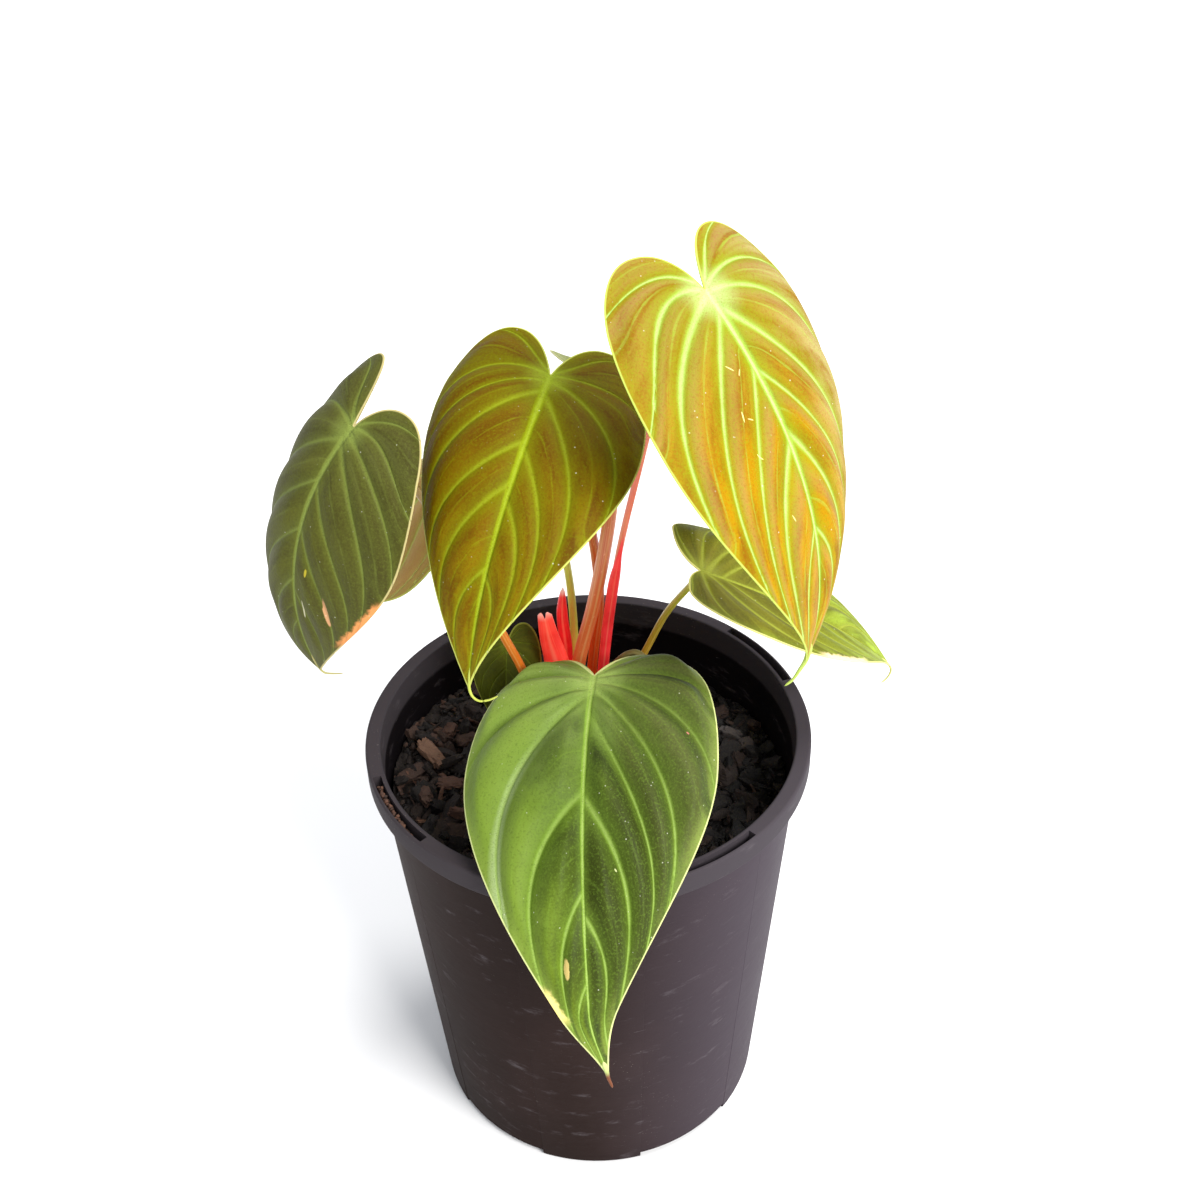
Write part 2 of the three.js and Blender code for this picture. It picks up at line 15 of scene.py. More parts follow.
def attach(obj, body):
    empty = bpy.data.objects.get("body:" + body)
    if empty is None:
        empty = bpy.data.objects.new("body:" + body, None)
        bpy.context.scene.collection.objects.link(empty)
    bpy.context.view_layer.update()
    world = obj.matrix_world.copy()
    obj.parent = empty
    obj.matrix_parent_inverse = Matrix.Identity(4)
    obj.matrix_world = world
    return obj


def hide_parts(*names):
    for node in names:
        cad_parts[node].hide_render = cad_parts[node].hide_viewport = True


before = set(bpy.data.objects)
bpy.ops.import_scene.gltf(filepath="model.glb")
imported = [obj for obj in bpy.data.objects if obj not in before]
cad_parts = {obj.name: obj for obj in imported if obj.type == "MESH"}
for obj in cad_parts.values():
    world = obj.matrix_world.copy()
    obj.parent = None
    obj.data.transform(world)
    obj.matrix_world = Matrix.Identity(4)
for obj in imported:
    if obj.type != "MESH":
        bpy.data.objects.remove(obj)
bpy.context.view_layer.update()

MM = 0.001

# Camera and light

CAMERA = {"place": (0.0, -379.4, 484.8), "lens": 48, "pitch": 36.917, "yaw": 0.749, "roll": -1.7007}
SKY = {"color": (0.93, 0.96, 1.0, 1), "strength": 0.58}

# Distant lights: the direction each shines from, strength, apparent size in degrees and colour.
SUNS = {
    "window_light": ((0.5, 0.3, 1.0), 1.3, 24, (1.0, 0.99, 0.97)),
    "front_fill": ((0.65, -0.75, 0.8), 3.0, 28, (1.0, 0.98, 0.95)),
}
EXPOSURE = 0.5
FLOOR_SIZE = 8000


def new_object(name, data):
    """An object with the given data, put into the scene."""
    made = bpy.data.objects.new(name, data)
    bpy.context.scene.collection.objects.link(made)
    return made


def add_camera():
    """Look down by pitch and to the right by yaw, then turn the picture by roll."""
    pitch, yaw, roll = (math.radians(CAMERA[name]) for name in ("pitch", "yaw", "roll"))
    forward = Vector((math.sin(yaw) * math.cos(pitch), math.cos(yaw) * math.cos(pitch), -math.sin(pitch)))
    level = Vector((math.cos(yaw), -math.sin(yaw), 0))
    upright = level.cross(forward)
    right = level * math.cos(roll) + upright * math.sin(roll)
    up = upright * math.cos(roll) - level * math.sin(roll)
    data = bpy.data.cameras.new("camera")
    data.sensor_width = 36
    data.lens = CAMERA["lens"]
    data.clip_start = 0.01
    data.clip_end = 50
    camera = new_object("camera", data)
    place = Vector(CAMERA["place"]) * MM
    camera.matrix_world = Matrix((
        (right.x, up.x, -forward.x, place.x),
        (right.y, up.y, -forward.y, place.y),
        (right.z, up.z, -forward.z, place.z),
        (0, 0, 0, 1)))
    bpy.context.scene.camera = camera


def add_lights():
    """An even, slightly blue sky, a window from behind and a softer fill from the front right."""
    world = bpy.data.worlds.new("studio")
    world.use_nodes = True
    background = world.node_tree.nodes["Background"]
    background.inputs["Color"].default_value = SKY["color"]
    background.inputs["Strength"].default_value = SKY["strength"]
    bpy.context.scene.world = world
    for name, (towards, strength, size, color) in SUNS.items():
        data = bpy.data.lights.new(name, "SUN")
        data.energy = strength
        data.angle = math.radians(size)
        data.color = color
        light = new_object(name, data)
        light.rotation_euler = Vector(towards).to_track_quat("Z", "Y").to_euler()


# Numbers and noise

def mix(a, b, share):
    """a at share 0, b at share 1 and a straight line between."""
    return a + (b - a) * share


def smooth(low, high, x):
    """0 below low, 1 above high, and 3t^2 - 2t^3 between them."""
    t = np.clip((x - low) / (high - low), 0, 1)
    return t * t * (3 - 2 * t)


def lattice(i, j, seed):
    """A number from 0 to 1 for each pair of whole numbers, the same on every run."""
    mixed = np.sin(i * 127.1 + j * 311.7 + seed * 74.7) * 43758.5453
    return mixed - np.floor(mixed)


def value_noise(x, y, seed):
    """Smoothly blended lattice numbers, from -1 to 1, with waves about 1 long."""
    i = np.floor(x)
    j = np.floor(y)
    a = smooth(0, 1, x - i)
    b = smooth(0, 1, y - j)
    low = mix(lattice(i, j, seed), lattice(i + 1, j, seed), a)
    high = mix(lattice(i, j + 1, seed), lattice(i + 1, j + 1, seed), a)
    return 2 * mix(low, high, b) - 1


def bezier(points, t):
    """Cubic curve through four points, for an array of shares t."""
    t = np.asarray(t, float)[..., None]
    a, b, c, d = (np.asarray(point, float) for point in points)
    return (1 - t) ** 3 * a + 3 * (1 - t) ** 2 * t * b + 3 * (1 - t) * t * t * c + t ** 3 * d


def unit(vectors):
    """Vectors divided by their lengths."""
    length = np.linalg.norm(vectors, axis=-1, keepdims=True)
    return vectors / np.maximum(length, 1e-9)


def together(*parts):
    """Arrays that broadcast to one shape, stacked along a new last axis."""
    return np.stack(np.broadcast_arrays(*parts), -1)


def full_turn(count):
    """Equal steps of angle round a full circle."""
    return np.linspace(0, 2 * math.pi, count, endpoint=False)


def polar(radius, angle, height):
    """Points at a distance from the axis, an angle round it and a height."""
    return together(radius * np.cos(angle), radius * np.sin(angle), height)


# Meshes

def grid_quads(rows, columns, start=0, flip=False, closed=False):
    """Corner numbers of the quads of a grid of points; closed joins the last column to the first."""
    numbers = start + np.arange(rows * columns).reshape(rows, columns)
    if closed:
        numbers = np.hstack([numbers, numbers[:, :1]])
    a, b, c, d = numbers[:-1, :-1], numbers[1:, :-1], numbers[1:, 1:], numbers[:-1, 1:]
    order = (a, d, c, b) if flip else (a, b, c, d)
    return np.stack([corner.ravel() for corner in order], 1)


def join_parts(parts):
    """Put lists of points, faces and per-point values one after another."""
    points = np.concatenate([part[0] for part in parts])
    starts = np.cumsum([0] + [len(part[0]) for part in parts[:-1]])
    faces = np.concatenate([part[1] + start for part, start in zip(parts, starts)])
    names = parts[0][2].keys()
    values = {name: np.concatenate([part[2][name] for part in parts]) for name in names}
    return points, faces, values


def add_piece(name, part, materials, nodes=(), material_of_face=None, sharp=None):
    """One object at the origin from points in mm; values become attributes at the face corners."""
    points, faces, values = part
    mesh = bpy.data.meshes.new(name)
    mesh.from_pydata((points * MM).tolist(), [], faces.tolist())
    corners = faces.ravel()
    for key, column in values.items():
        data = np.zeros((len(corners), 3))
        data[:, :column.shape[1]] = column[corners]
        mesh.attributes.new(key, "FLOAT_VECTOR", "CORNER").data.foreach_set("vector", data.ravel())
    if material_of_face is not None:
        mesh.polygons.foreach_set("material_index", material_of_face)
    mesh.polygons.foreach_set("use_smooth", np.ones(len(faces), bool))
    shape = bmesh.new()
    shape.from_mesh(mesh)
    bmesh.ops.remove_doubles(shape, verts=shape.verts, dist=2e-6)
    bmesh.ops.recalc_face_normals(shape, faces=shape.faces)
    shape.to_mesh(mesh)
    shape.free()
    if sharp is not None:
        mesh.set_sharp_from_angle(angle=math.radians(sharp))
    for material in materials:
        mesh.materials.append(material)
    piece = new_object(name, mesh)
    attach(piece, "root")
    if nodes:
        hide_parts(*nodes)


# Curves through given points

def curve_through(points, steps):
    """Centripetal Catmull-Rom curve, sampled at equal steps of its length."""
    given = np.array(points, float)
    ends = [2 * given[0] - given[1], *given, 2 * given[-1] - given[-2]]
    dense = []
    for a, b, c, d in zip(ends, ends[1:], ends[2:], ends[3:]):
        knots = np.cumsum([0.0] + [np.linalg.norm(q - p) ** 0.5 for p, q in ((a, b), (b, c), (c, d))])
        t = np.linspace(knots[1], knots[2], 40, endpoint=False)[:, None]
        ab = mix(a, b, (t - knots[0]) / (knots[1] - knots[0]))
        bc = mix(b, c, (t - knots[1]) / (knots[2] - knots[1]))
        cd = mix(c, d, (t - knots[2]) / (knots[3] - knots[2]))
        first = mix(ab, bc, (t - knots[0]) / (knots[2] - knots[0]))
        second = mix(bc, cd, (t - knots[1]) / (knots[3] - knots[1]))
        dense.append(mix(first, second, (t - knots[1]) / (knots[2] - knots[1])))
    dense = np.concatenate([*dense, given[-1:]])
    return resample(dense, np.linspace(0, 1, steps + 1))


def look_up(at, places, line):
    """Points of a line at the given places, straight between the places of its own points."""
    return np.stack([np.interp(at, places, line[:, k]) for k in range(3)], -1)


def lengths_along(line):
    """Length in mm from the start of a polyline to each of its points."""
    return np.concatenate([[0], np.cumsum(np.linalg.norm(np.diff(line, axis=0), axis=1))])


def resample(line, shares):
    """Points of a polyline at the given shares of its length."""
    lengths = lengths_along(line)
    return look_up(shares * lengths[-1], lengths, line)


def frames_along(line, sideways):
    """Right and forward at each point; right is sideways with its part along the line taken out."""
    tangent = unit(np.gradient(line, axis=0))
    across = np.array(sideways, float)
    right = unit(across - tangent * (tangent @ across)[:, None])
    return right, np.cross(tangent, right)


def oval(place, right, forward, width, depth, angle):
    """place + width cos(angle) right + depth sin(angle) forward."""
    sideways = right * (width * np.cos(angle))[..., None]
    return place + sideways + forward * (depth * np.sin(angle))[..., None]


def tube(line, radius, sides=20, sideways=(1, 0, 0), flatness=1.0):
    """Ovals round a line, closed to a point at both ends.

    radius holds one number for each point of the line, and flatness is the share of it that the
    oval has forward. The values are the share along, the angle and the length in mm.
    """
    frames = frames_along(line, sideways)
    line, right, forward = (np.concatenate([part[:1], part, part[-1:]]) for part in (line, *frames))
    radius = np.concatenate([[0], radius, [0]])[:, None]
    angle = full_turn(sides)
    points = oval(line[:, None], right[:, None], forward[:, None], radius, flatness * radius, angle)
    length = lengths_along(line)[:, None]
    along = together(length / length[-1], angle / (2 * math.pi), length)
    faces = grid_quads(len(line), sides, closed=True)
    return points.reshape(-1, 3), faces, {"along": along.reshape(-1, 3)}


def sheet(top, bottom, values, border, flip=False):
    """Two grids, one behind the other, joined by a strip along a border; both have the same values."""
    rows, columns = top.shape[:2]
    far = rows * columns
    faces = np.concatenate([
        grid_quads(rows, columns, flip=flip),
        grid_quads(rows, columns, start=far, flip=not flip),
        np.stack([border[:-1], border[1:], border[1:] + far, border[:-1] + far], 1)])
    doubled = {key: np.tile(column.reshape(far, -1), (2, 1)) for key, column in values.items()}
    return np.concatenate([top.reshape(-1, 3), bottom.reshape(-1, 3)]), faces, doubled


def shell(middle, thickness, values):
    """A grid given half its thickness either way along its normals and closed round its border."""
    normal = unit(np.cross(np.gradient(middle, axis=0), np.gradient(middle, axis=1)))
    half = (thickness / 2)[..., None] * normal
    numbers = np.arange(middle[..., 0].size).reshape(middle.shape[:2])
    border = np.concatenate([numbers[0], numbers[1:, -1], numbers[-1, -2::-1], numbers[-2::-1, 0]])
    return sheet(middle + half, middle - half, values, border)


# Leaf blades

# Shares of the outline where the lobe's curve and the widest curve end and where its lines to the
# midrib leave the notch; how much those lines bend; and the sign of v for the left and right half.
LOBE_END = 0.14
WIDEST_END = 0.42
LAST_BASAL = 0.36
VEIN_BEND = 0.3
SIGNS = (-1, 1)

# Length in mm of a blade whose veins have their full width, and of one with a full drip tail.
FULL_LENGTH = 110
FULL_TAIL_LENGTH = 115

# Veins that leave the midrib at this angle or more turn back into the lobe; and the width in mm of the
# gap that is assumed before the first and after the last vein.
LOBE_ANGLE = 110
OUTER_GAP = 9

# Blade shapes. In each pair the second number is for the half on +X when the heading is 0. quilting is
# how far the tissue bulges between two veins as a share of their gap; hook is how far in mm the tip
# bends towards +X. What a leaf leaves out has its usual value.
USUAL = dict(sinus=(0.05, 0.05), lobe_across=0.45, turn=0, roll=0, twist=0, lobe_curl=0, hook=0)
OWN_SHAPES = {
    "gold": dict(
        position=(33, -14.5, 306.5), length=113, half_width=(36, 36), lobe=(15, 17), sinus=(0, 0.05),
        lobe_across=0.4, widest=(0.29, 0.29), neck=(0.39, 0.39), heading=38, turn=24, pitch=(-33, -104),
        roll=2, twist=-4, fold=(4, 5), droop=(24, 45), quilting=0.12),
    "olive": dict(
        position=(-6.5, 0.5, 275.5), length=95, half_width=(32.5, 30.5), lobe=(17, 16),
        sinus=(0.06, 0.02), widest=(0.22, 0.22), neck=(0.29, 0.14), heading=-13, turn=-24,
        pitch=(-3, -83), roll=-16, twist=18, fold=(8, 4), droop=(65, 25), lobe_curl=-13, quilting=0.09),
    "left": dict(
        position=(-57.5, -19, 273.5), length=81.5, half_width=(27.5, 31), lobe=(18, 12), sinus=(0.06, 0),
        lobe_across=0.37, widest=(0.39, 0.35), neck=(0.42, 0.47), heading=-65, turn=8, pitch=(-41, -110),
        roll=-18, twist=-1, fold=(5, -1), droop=(72, 28), lobe_curl=5, quilting=0.1),
    "front": dict(
        position=(2.5, -11, 180), length=127, half_width=(37.5, 39), lobe=(17, 18), sinus=(0.16, 0.14),
        lobe_across=0.43, widest=(0.24, 0.24), neck=(0.1, 0.1), heading=-9, turn=15, pitch=(0, -81),
        roll=5, twist=-18, fold=(-6, -2), droop=(22, 19), lobe_curl=44, quilting=0.27, hook=4.5),
    "right": dict(
        position=(35, 8.5, 203), length=86, half_width=(25, 26), lobe=(5, 9), sinus=(0.12, 0.04),
        lobe_across=0.6, widest=(0.27, 0.27), neck=(0.3, 0.3), heading=88, turn=32, pitch=(-24, -52),
        roll=1, twist=18, fold=(16, 16), droop=(19, 35), lobe_curl=2, quilting=0.12),
    "back_left": dict(
        position=(-22, 18.5, 245.5), length=85, half_width=(23.5, 24), lobe=(12, 12), widest=(0.22, 0.48),
        neck=(0.26, 0.4), heading=-98.5, pitch=(-31.5, -76), roll=-19, fold=(8, 8), droop=(41, 42),
        quilting=0.06),
    "low": dict(
        position=(-24.5, 19.5, 170.5), length=36, half_width=(12, 11.5), lobe=(7, 6.5),
        widest=(0.24, 0.24), neck=(0.25, 0.25), heading=-14, pitch=(-66, -88), fold=(8, 8),
        droop=(25, 25), quilting=0.05),
    "back": dict(
        position=(10, 42, 248), length=74, half_width=(26, 26), lobe=(17, 17), widest=(0.24, 0.24),
        neck=(0.25, 0.25), heading=99, pitch=(-23.5, -62), roll=-10.5, fold=(6, 10), droop=(25, 25),
        lobe_curl=-12, quilting=0.06),
}
LEAVES = {name: {**USUAL, **shape} for name, shape in OWN_SHAPES.items()}

# Side veins from the lobe to the tip, for the left and the right half: where each leaves the midrib
# as a share of the length, at which angle, the share of the outline where it ends, and its width.
VEINS = {
    "gold": (
        ((0, 148, 0.27, 1.1), (0.005, 113, 0.4, 1.6), (0.015, 62, 0.57, 1.9), (0.06, 38, 0.72, 1.3),
         (0.2, 32, 0.8, 1.1), (0.39, 46, 0.88, 1.5), (0.6, 40, 0.95, 0.7)),
        ((0, 140, 0.16, 0.9), (0.002, 122, 0.3, 1.3), (0.01, 88, 0.48, 1.5), (0.05, 33, 0.7, 1.6),
         (0.21, 32, 0.79, 0.9), (0.36, 27, 0.88, 1.2), (0.6, 34, 0.95, 0.8))),
    "olive": (
        ((0, 130, 0.18, 1.2), (0.01, 100, 0.4, 1.4), (0.035, 72, 0.52, 0.7), (0.08, 50, 0.65, 1.6),
         (0.27, 46, 0.74, 1.3), (0.4, 40, 0.83, 1.5), (0.64, 40, 0.93, 0.9)),
        ((0, 130, 0.2, 1.1), (0.005, 98, 0.36, 0.9), (0.03, 70, 0.58, 1.6), (0.09, 34, 0.74, 1.6),
         (0.29, 34, 0.81, 1.3), (0.45, 38, 0.89, 1.3), (0.66, 38, 0.95, 0.8))),
    "left": (
        ((0, 122, 0.2, 1.2), (0.01, 108, 0.33, 1.2), (0.05, 50, 0.5, 1.4), (0.21, 44, 0.66, 1.2),
         (0.39, 46, 0.78, 1.1), (0.58, 42, 0.88, 0.9), (0.75, 40, 0.95, 0.6)),
        ((0, 137, 0.2, 1.1), (0.01, 118, 0.34, 1.3), (0.025, 72, 0.5, 1.4), (0.07, 50, 0.73, 1.4),
         (0.22, 34, 0.8, 1.2), (0.38, 28, 0.88, 1.1), (0.62, 34, 0.95, 0.7))),
    "front": (
        ((0, 128, 0.2, 1.0), (0.01, 105, 0.33, 0.8), (0.045, 84, 0.45, 1.4), (0.06, 44, 0.69, 1.5),
         (0.33, 45, 0.8, 1.3), (0.55, 32, 0.9, 0.8), (0.75, 30, 0.96, 0.5)),
        ((0, 128, 0.2, 1.0), (0.01, 104, 0.34, 0.8), (0.025, 82, 0.47, 1.4), (0.045, 46, 0.68, 1.5),
         (0.12, 28, 0.75, 0.9), (0.34, 36, 0.84, 1.3), (0.6, 32, 0.93, 0.7))),
}
SOME_LEAF = ((0, 128, 0.2, 1.2), (0.01, 92, 0.36, 1.3), (0.03, 66, 0.56, 1.4), (0.09, 50, 0.7, 1.0),
             (0.26, 46, 0.81, 1.2), (0.43, 44, 0.89, 0.9), (0.63, 42, 0.95, 0.8))

# Each leaf's tip: a drip tail, as its radius in mm at its foot and steps in mm from the tip.
TAILS = {
    "gold": (1.0, ((-1.5, -0.4, -2.6), (-3.2, -0.8, -5.4), (-5.4, -1, -7.4))),
    "olive": (0.6, ((0.8, -0.3, -2.2), (2.4, -0.6, -3.4), (5, -0.6, -3.2), (7.4, -0.6, -2))),
    "left": (0.6, ((0.9, 0, -1), (3, 0.2, -1.6), (6, 0.3, -1.8))),
    "front": (0.8, ((0.6, -0.5, -1.2), (1, -1, -2.4))),
    "right": (0.7, ((0.4, 0, -1.6), (-0.4, -0.4, -4), (-2.6, -0.8, -6.4))),
    "back_left": (0.6, ((-1.4, 0, 0), (-3.4, 0, 0.8))),
    "low": (0.6, ((0, -0.3, -1.5), (0.3, -0.5, -3))),
    "back": (0.6, ((1.2, 0.3, -2.4), (2, 0.6, -5))),
}


def leaf_scale(leaf):
    """Size of a blade's details against those of a blade of full length."""
    return leaf["length"] / FULL_LENGTH


def outline(leaf, side, share):
    """Flat outline of one half: three cubic curves, round the lobe, out to the widest place, to the tip."""
    length = leaf["length"]
    width = leaf["half_width"][side]
    back = leaf["lobe"][side]
    across = leaf["lobe_across"] * width
    wide = leaf["widest"][side] * length
    gape = leaf["sinus"][side]
    inner = [(0, 0), (-0.35 * back, (0.02 + 0.8 * gape) * width), (-back, (0.12 + gape) * width),
             (-back, across)]
    shoulder = [(-back, across), (-back, (across + width) / 2), (wide - 0.26 * length, width), (wide, width)]
    neck = leaf["neck"][side] * width
    flank = [(wide, width), (wide + 0.28 * length, width), (0.8 * length, neck), (length, 0)]
    share = np.asarray(share, float)
    pieces = [
        bezier(inner, np.clip(share / LOBE_END, 0, 1)),
        bezier(shoulder, np.clip((share - LOBE_END) / (WIDEST_END - LOBE_END), 0, 1)),
        bezier(flank, np.clip((share - WIDEST_END) / (1 - WIDEST_END), 0, 1))]
    first = (share < LOBE_END)[..., None]
    second = (share < WIDEST_END)[..., None]
    return np.where(first, pieces[0], np.where(second, pieces[1], pieces[2]))


def blade_grid(leaf, side, share, q):
    """Flat points (u along the midrib, v across) on bent lines from the midrib (q = 0) to the outline."""
    edge = outline(leaf, side, share)
    start = leaf["length"] * np.clip((share - LAST_BASAL) / (1 - LAST_BASAL), 0, 1) ** 1.25
    bend = VEIN_BEND * np.minimum(share / 0.22, 1) * np.minimum((1 - share) / 0.15, 1)
    du = edge[..., 0] - start
    dv = edge[..., 1]
    middle_u = start + du / 2 - dv * bend / 2
    middle_v = dv / 2 + du * bend / 2
    u = (1 - q) ** 2 * start + 2 * (1 - q) * q * middle_u + q ** 2 * edge[..., 0]
    v = 2 * (1 - q) * q * middle_v + q ** 2 * edge[..., 1]
    return u, v


def midrib(leaf, u):
    """The midrib in space: its direction follows pitch and heading, which change along the leaf."""
    def direction(x):
        """Direction of the midrib, the level direction across it and its roll, at shares of its length."""
        ahead = np.maximum(x, 0)
        behind = np.maximum(-x, 0)
        pitch = np.radians(mix(leaf["pitch"][0], leaf["pitch"][1], ahead) + leaf["lobe_curl"] * behind / 0.2)
        heading = np.radians(leaf["heading"] + leaf["turn"] * ahead)
        along = np.stack([
            np.sin(heading) * np.cos(pitch), -np.cos(heading) * np.cos(pitch), np.sin(pitch)], -1)
        level = np.stack([np.cos(heading), np.sin(heading), 0 * heading], -1)
        return along, level, np.radians(leaf["roll"] + leaf["twist"] * ahead)

    places = np.linspace(-0.4, 1.1, 301)
    step = places[1] - places[0]
    moves = direction(places[:-1] + step / 2)[0] * step * leaf["length"]
    line = np.concatenate([np.zeros((1, 3)), np.cumsum(moves, 0)])
    x = u / leaf["length"]
    along, level, roll = direction(x)
    point = look_up(x, places, line) - look_up(0.0, places, line) + np.array(leaf["position"])
    point = point + level * (leaf["hook"] * smooth(0.82, 1.02, x))[..., None]
    upright = np.cross(along, level)
    cosine = np.cos(roll)[..., None]
    sine = np.sin(roll)[..., None]
    return point, along, level * cosine + upright * sine, upright * cosine - level * sine


def on_blade(leaf, side, u, v):
    """Each half rises from the midrib at its fold angle and bends down by its droop towards the margin."""
    point, _, across, normal = midrib(leaf, u)
    sign = SIGNS[side]
    fold = math.radians(leaf["fold"][side])
    bend = math.radians(leaf["droop"][side]) / leaf["half_width"][side]
    angle = fold - bend * v
    out = (math.sin(fold) - np.sin(angle)) / bend
    rise = (np.cos(angle) - math.cos(fold)) / bend
    place = point + across * (sign * out)[..., None] + normal * rise[..., None]
    tilt = angle * smooth(0, 1.5, v)
    face = normal * np.cos(tilt)[..., None] - across * (sign * np.sin(tilt))[..., None]
    return place, face


def nearest(points, line):
    """Distance from each point to a line of points, and the number of the nearest one."""
    apart = np.linalg.norm(points[:, None] - line[None], axis=2)
    number = apart.argmin(1)
    return apart[np.arange(len(points)), number], number


def vein_curves(name, side):
    """Side veins as cubic curves: out of the midrib at an angle, then bending to run with the margin.

    Returns the flat points of each and the vein's width in mm at its foot.
    """
    leaf = LEAVES[name]
    samples = np.linspace(0, 1, 90)
    curves = []
    for start, angle, end, width in VEINS.get(name, (SOME_LEAF, SOME_LEAF))[side]:
        foot = np.array([start * leaf["length"], 0.0])
        tip, ahead = outline(leaf, side, np.array([end, end + 0.004]))
        reach = np.linalg.norm(tip - foot)
        leave = np.array([math.cos(math.radians(angle)), math.sin(math.radians(angle))])
        tangent = unit(ahead - tip)
        inward = np.array([tangent[1], -tangent[0]])
        arrive = unit(tangent - (0.25 if angle < LOBE_ANGLE else 0.8) * inward)
        curve = bezier([foot, foot + 0.42 * reach * leave, tip - 0.4 * reach * arrive, tip], samples)
        curves.append((curve, width * leaf_scale(leaf)))
    return curves


def vein_field(name, side, u, v):
    """Where each point lies between the side veins.

    The first value is the vein's number plus the share of the way to the next vein, the second the
    gap between the two in mm, and the third the width of the nearest vein there. The distance to a
    vein is measured square to it, or to its end for points beyond the end.
    """
    points = np.stack([u.ravel(), v.ravel()], 1)
    signed = []
    widths = []
    for curve, width in vein_curves(name, side):
        distance, number = nearest(points, curve)
        ahead = unit(np.gradient(curve, axis=0))[number]
        offset = points - curve[number]
        square = ahead[:, 1] * offset[:, 0] - ahead[:, 0] * offset[:, 1]
        last = len(curve) - 1
        beside = (number > 0) & (number < last)
        signed.append(np.where(beside, square, np.where(square >= 0, distance, -distance)))
        widths.append(width * mix(1.45, 0.35, (number / last) ** 0.6))
    signed = np.array(signed)
    widths = np.array(widths)
    passed = np.minimum.accumulate(signed >= 0, axis=0).sum(0)
    outside = OUTER_GAP * leaf_scale(LEAVES[name])
    count = len(signed)
    below = np.clip(passed - 1, 0, count - 1)
    above = np.clip(passed, 0, count - 1)
    column = np.arange(len(points))
    from_below = np.where(passed == 0, outside + signed[0], signed[below, column])
    to_above = np.where(passed == count, outside - signed[-1], -signed[above, column])
    from_below = np.maximum(from_below, 0.01)
    to_above = np.maximum(to_above, 0.01)
    gap = from_below + to_above
    share = from_below / gap
    nearer = np.where(share < 0.5, below, above)
    return np.stack([passed - 1 + share, gap, widths[nearer, column]], 1)


# In mm: half the tissue's thickness inside and at the margin and how wide the thinner margin is, height
# and half width of the midrib below, depth and half width of the groove above it, and the widest gap
# between veins that the quilting follows.
SHEET = {"half": 0.24, "edge": 0.07, "edge_width": 0.6, "midrib": 1.15, "midrib_width": 1.7,
         "groove": 0.25, "groove_width": 0.9, "widest_gap": 15}


def leaf_half(name, side, rows, columns):
    """Top and underside of one half, quilted between the veins, with a rounded margin.

    Also returns the kind of each face: 0 for the top and the margin, 1 for the underside.
    """
    leaf = LEAVES[name]
    share = np.linspace(0, 1, rows)
    q = np.concatenate([np.linspace(0, 0.975, columns - 3), [0.988, 0.996, 1.0]])
    share_grid, q_grid = np.meshgrid(share, q, indexing="ij")
    u, v = blade_grid(leaf, side, share_grid, q_grid)
    flat = np.stack([u.ravel(), v.ravel()], 1)
    rim = outline(leaf, side, np.linspace(0, 1, 500))
    to_margin = nearest(flat, rim)[0].reshape(u.shape)
    veins = vein_field(name, side, u, v)
    between, gap = (veins[:, k].reshape(u.shape) for k in range(2))
    scale = leaf_scale(leaf)
    place, face = on_blade(leaf, side, u, v)
    fade = smooth(0, 7, to_margin) * smooth(0, 6, v)
    bulge = leaf["quilting"] * np.minimum(gap, SHEET["widest_gap"])
    quilt = bulge * np.abs(np.sin(math.pi * between)) * fade
    groove = SHEET["groove"] * scale * np.exp(-(v / SHEET["groove_width"]) ** 2) * smooth(0, 5, to_margin)
    height = quilt - groove
    half = mix(SHEET["edge"], SHEET["half"], np.sqrt(np.clip(to_margin / SHEET["edge_width"], 0, 1)))
    taper = mix(1.0, 0.25, np.clip(u / leaf["length"], 0, 1)) * smooth(0, 4, to_margin)
    ridge = SHEET["midrib"] * scale * taper * np.exp(-(v / (SHEET["midrib_width"] * scale)) ** 2)
    top = place + face * (height + half)[..., None]
    bottom = place + face * (height - half - ridge)[..., None]
    spot = np.stack([u / leaf["length"], SIGNS[side] * v, to_margin], -1)
    margin = np.arange(rows * columns).reshape(rows, columns)[:, -1]
    part = sheet(top, bottom, {"place": spot, "vein": veins}, margin, flip=side == 0)
    kinds = np.zeros(len(part[1]), int)
    kinds[(rows - 1) * (columns - 1):2 * (rows - 1) * (columns - 1)] = 1
    return part, kinds


def drip_tail(name, leaf):
    """A thin tapered tube that carries on from inside the leaf's tip."""
    length = leaf["length"]
    inside = midrib(leaf, np.array([length - 7, length - 3, length - 0.5]))[0]
    tip = midrib(leaf, np.array([length]))[0][0]
    foot_radius, steps = TAILS[name]
    line = curve_through([*inside, *(tip + np.array(step) for step in steps)], 26)
    share = np.linspace(0, 1, len(line))
    radius = mix(foot_radius, 0.3, share) * np.sqrt(np.clip(share / 0.15, 0.05, 1))
    radius *= np.sqrt(np.clip((1 - share) / 0.06, 0.03, 1)) * length / FULL_TAIL_LENGTH
    points, faces, values = tube(line, radius, sides=8)
    spot = np.tile([1.0, 0.0, 0.4], (len(points), 1))
    spot[:, 0] += 0.02 * values["along"][:, 0]
    veins = np.tile([6.5, 4.0, 0.3], (len(points), 1))
    return points, faces, {"place": spot, "vein": veins}


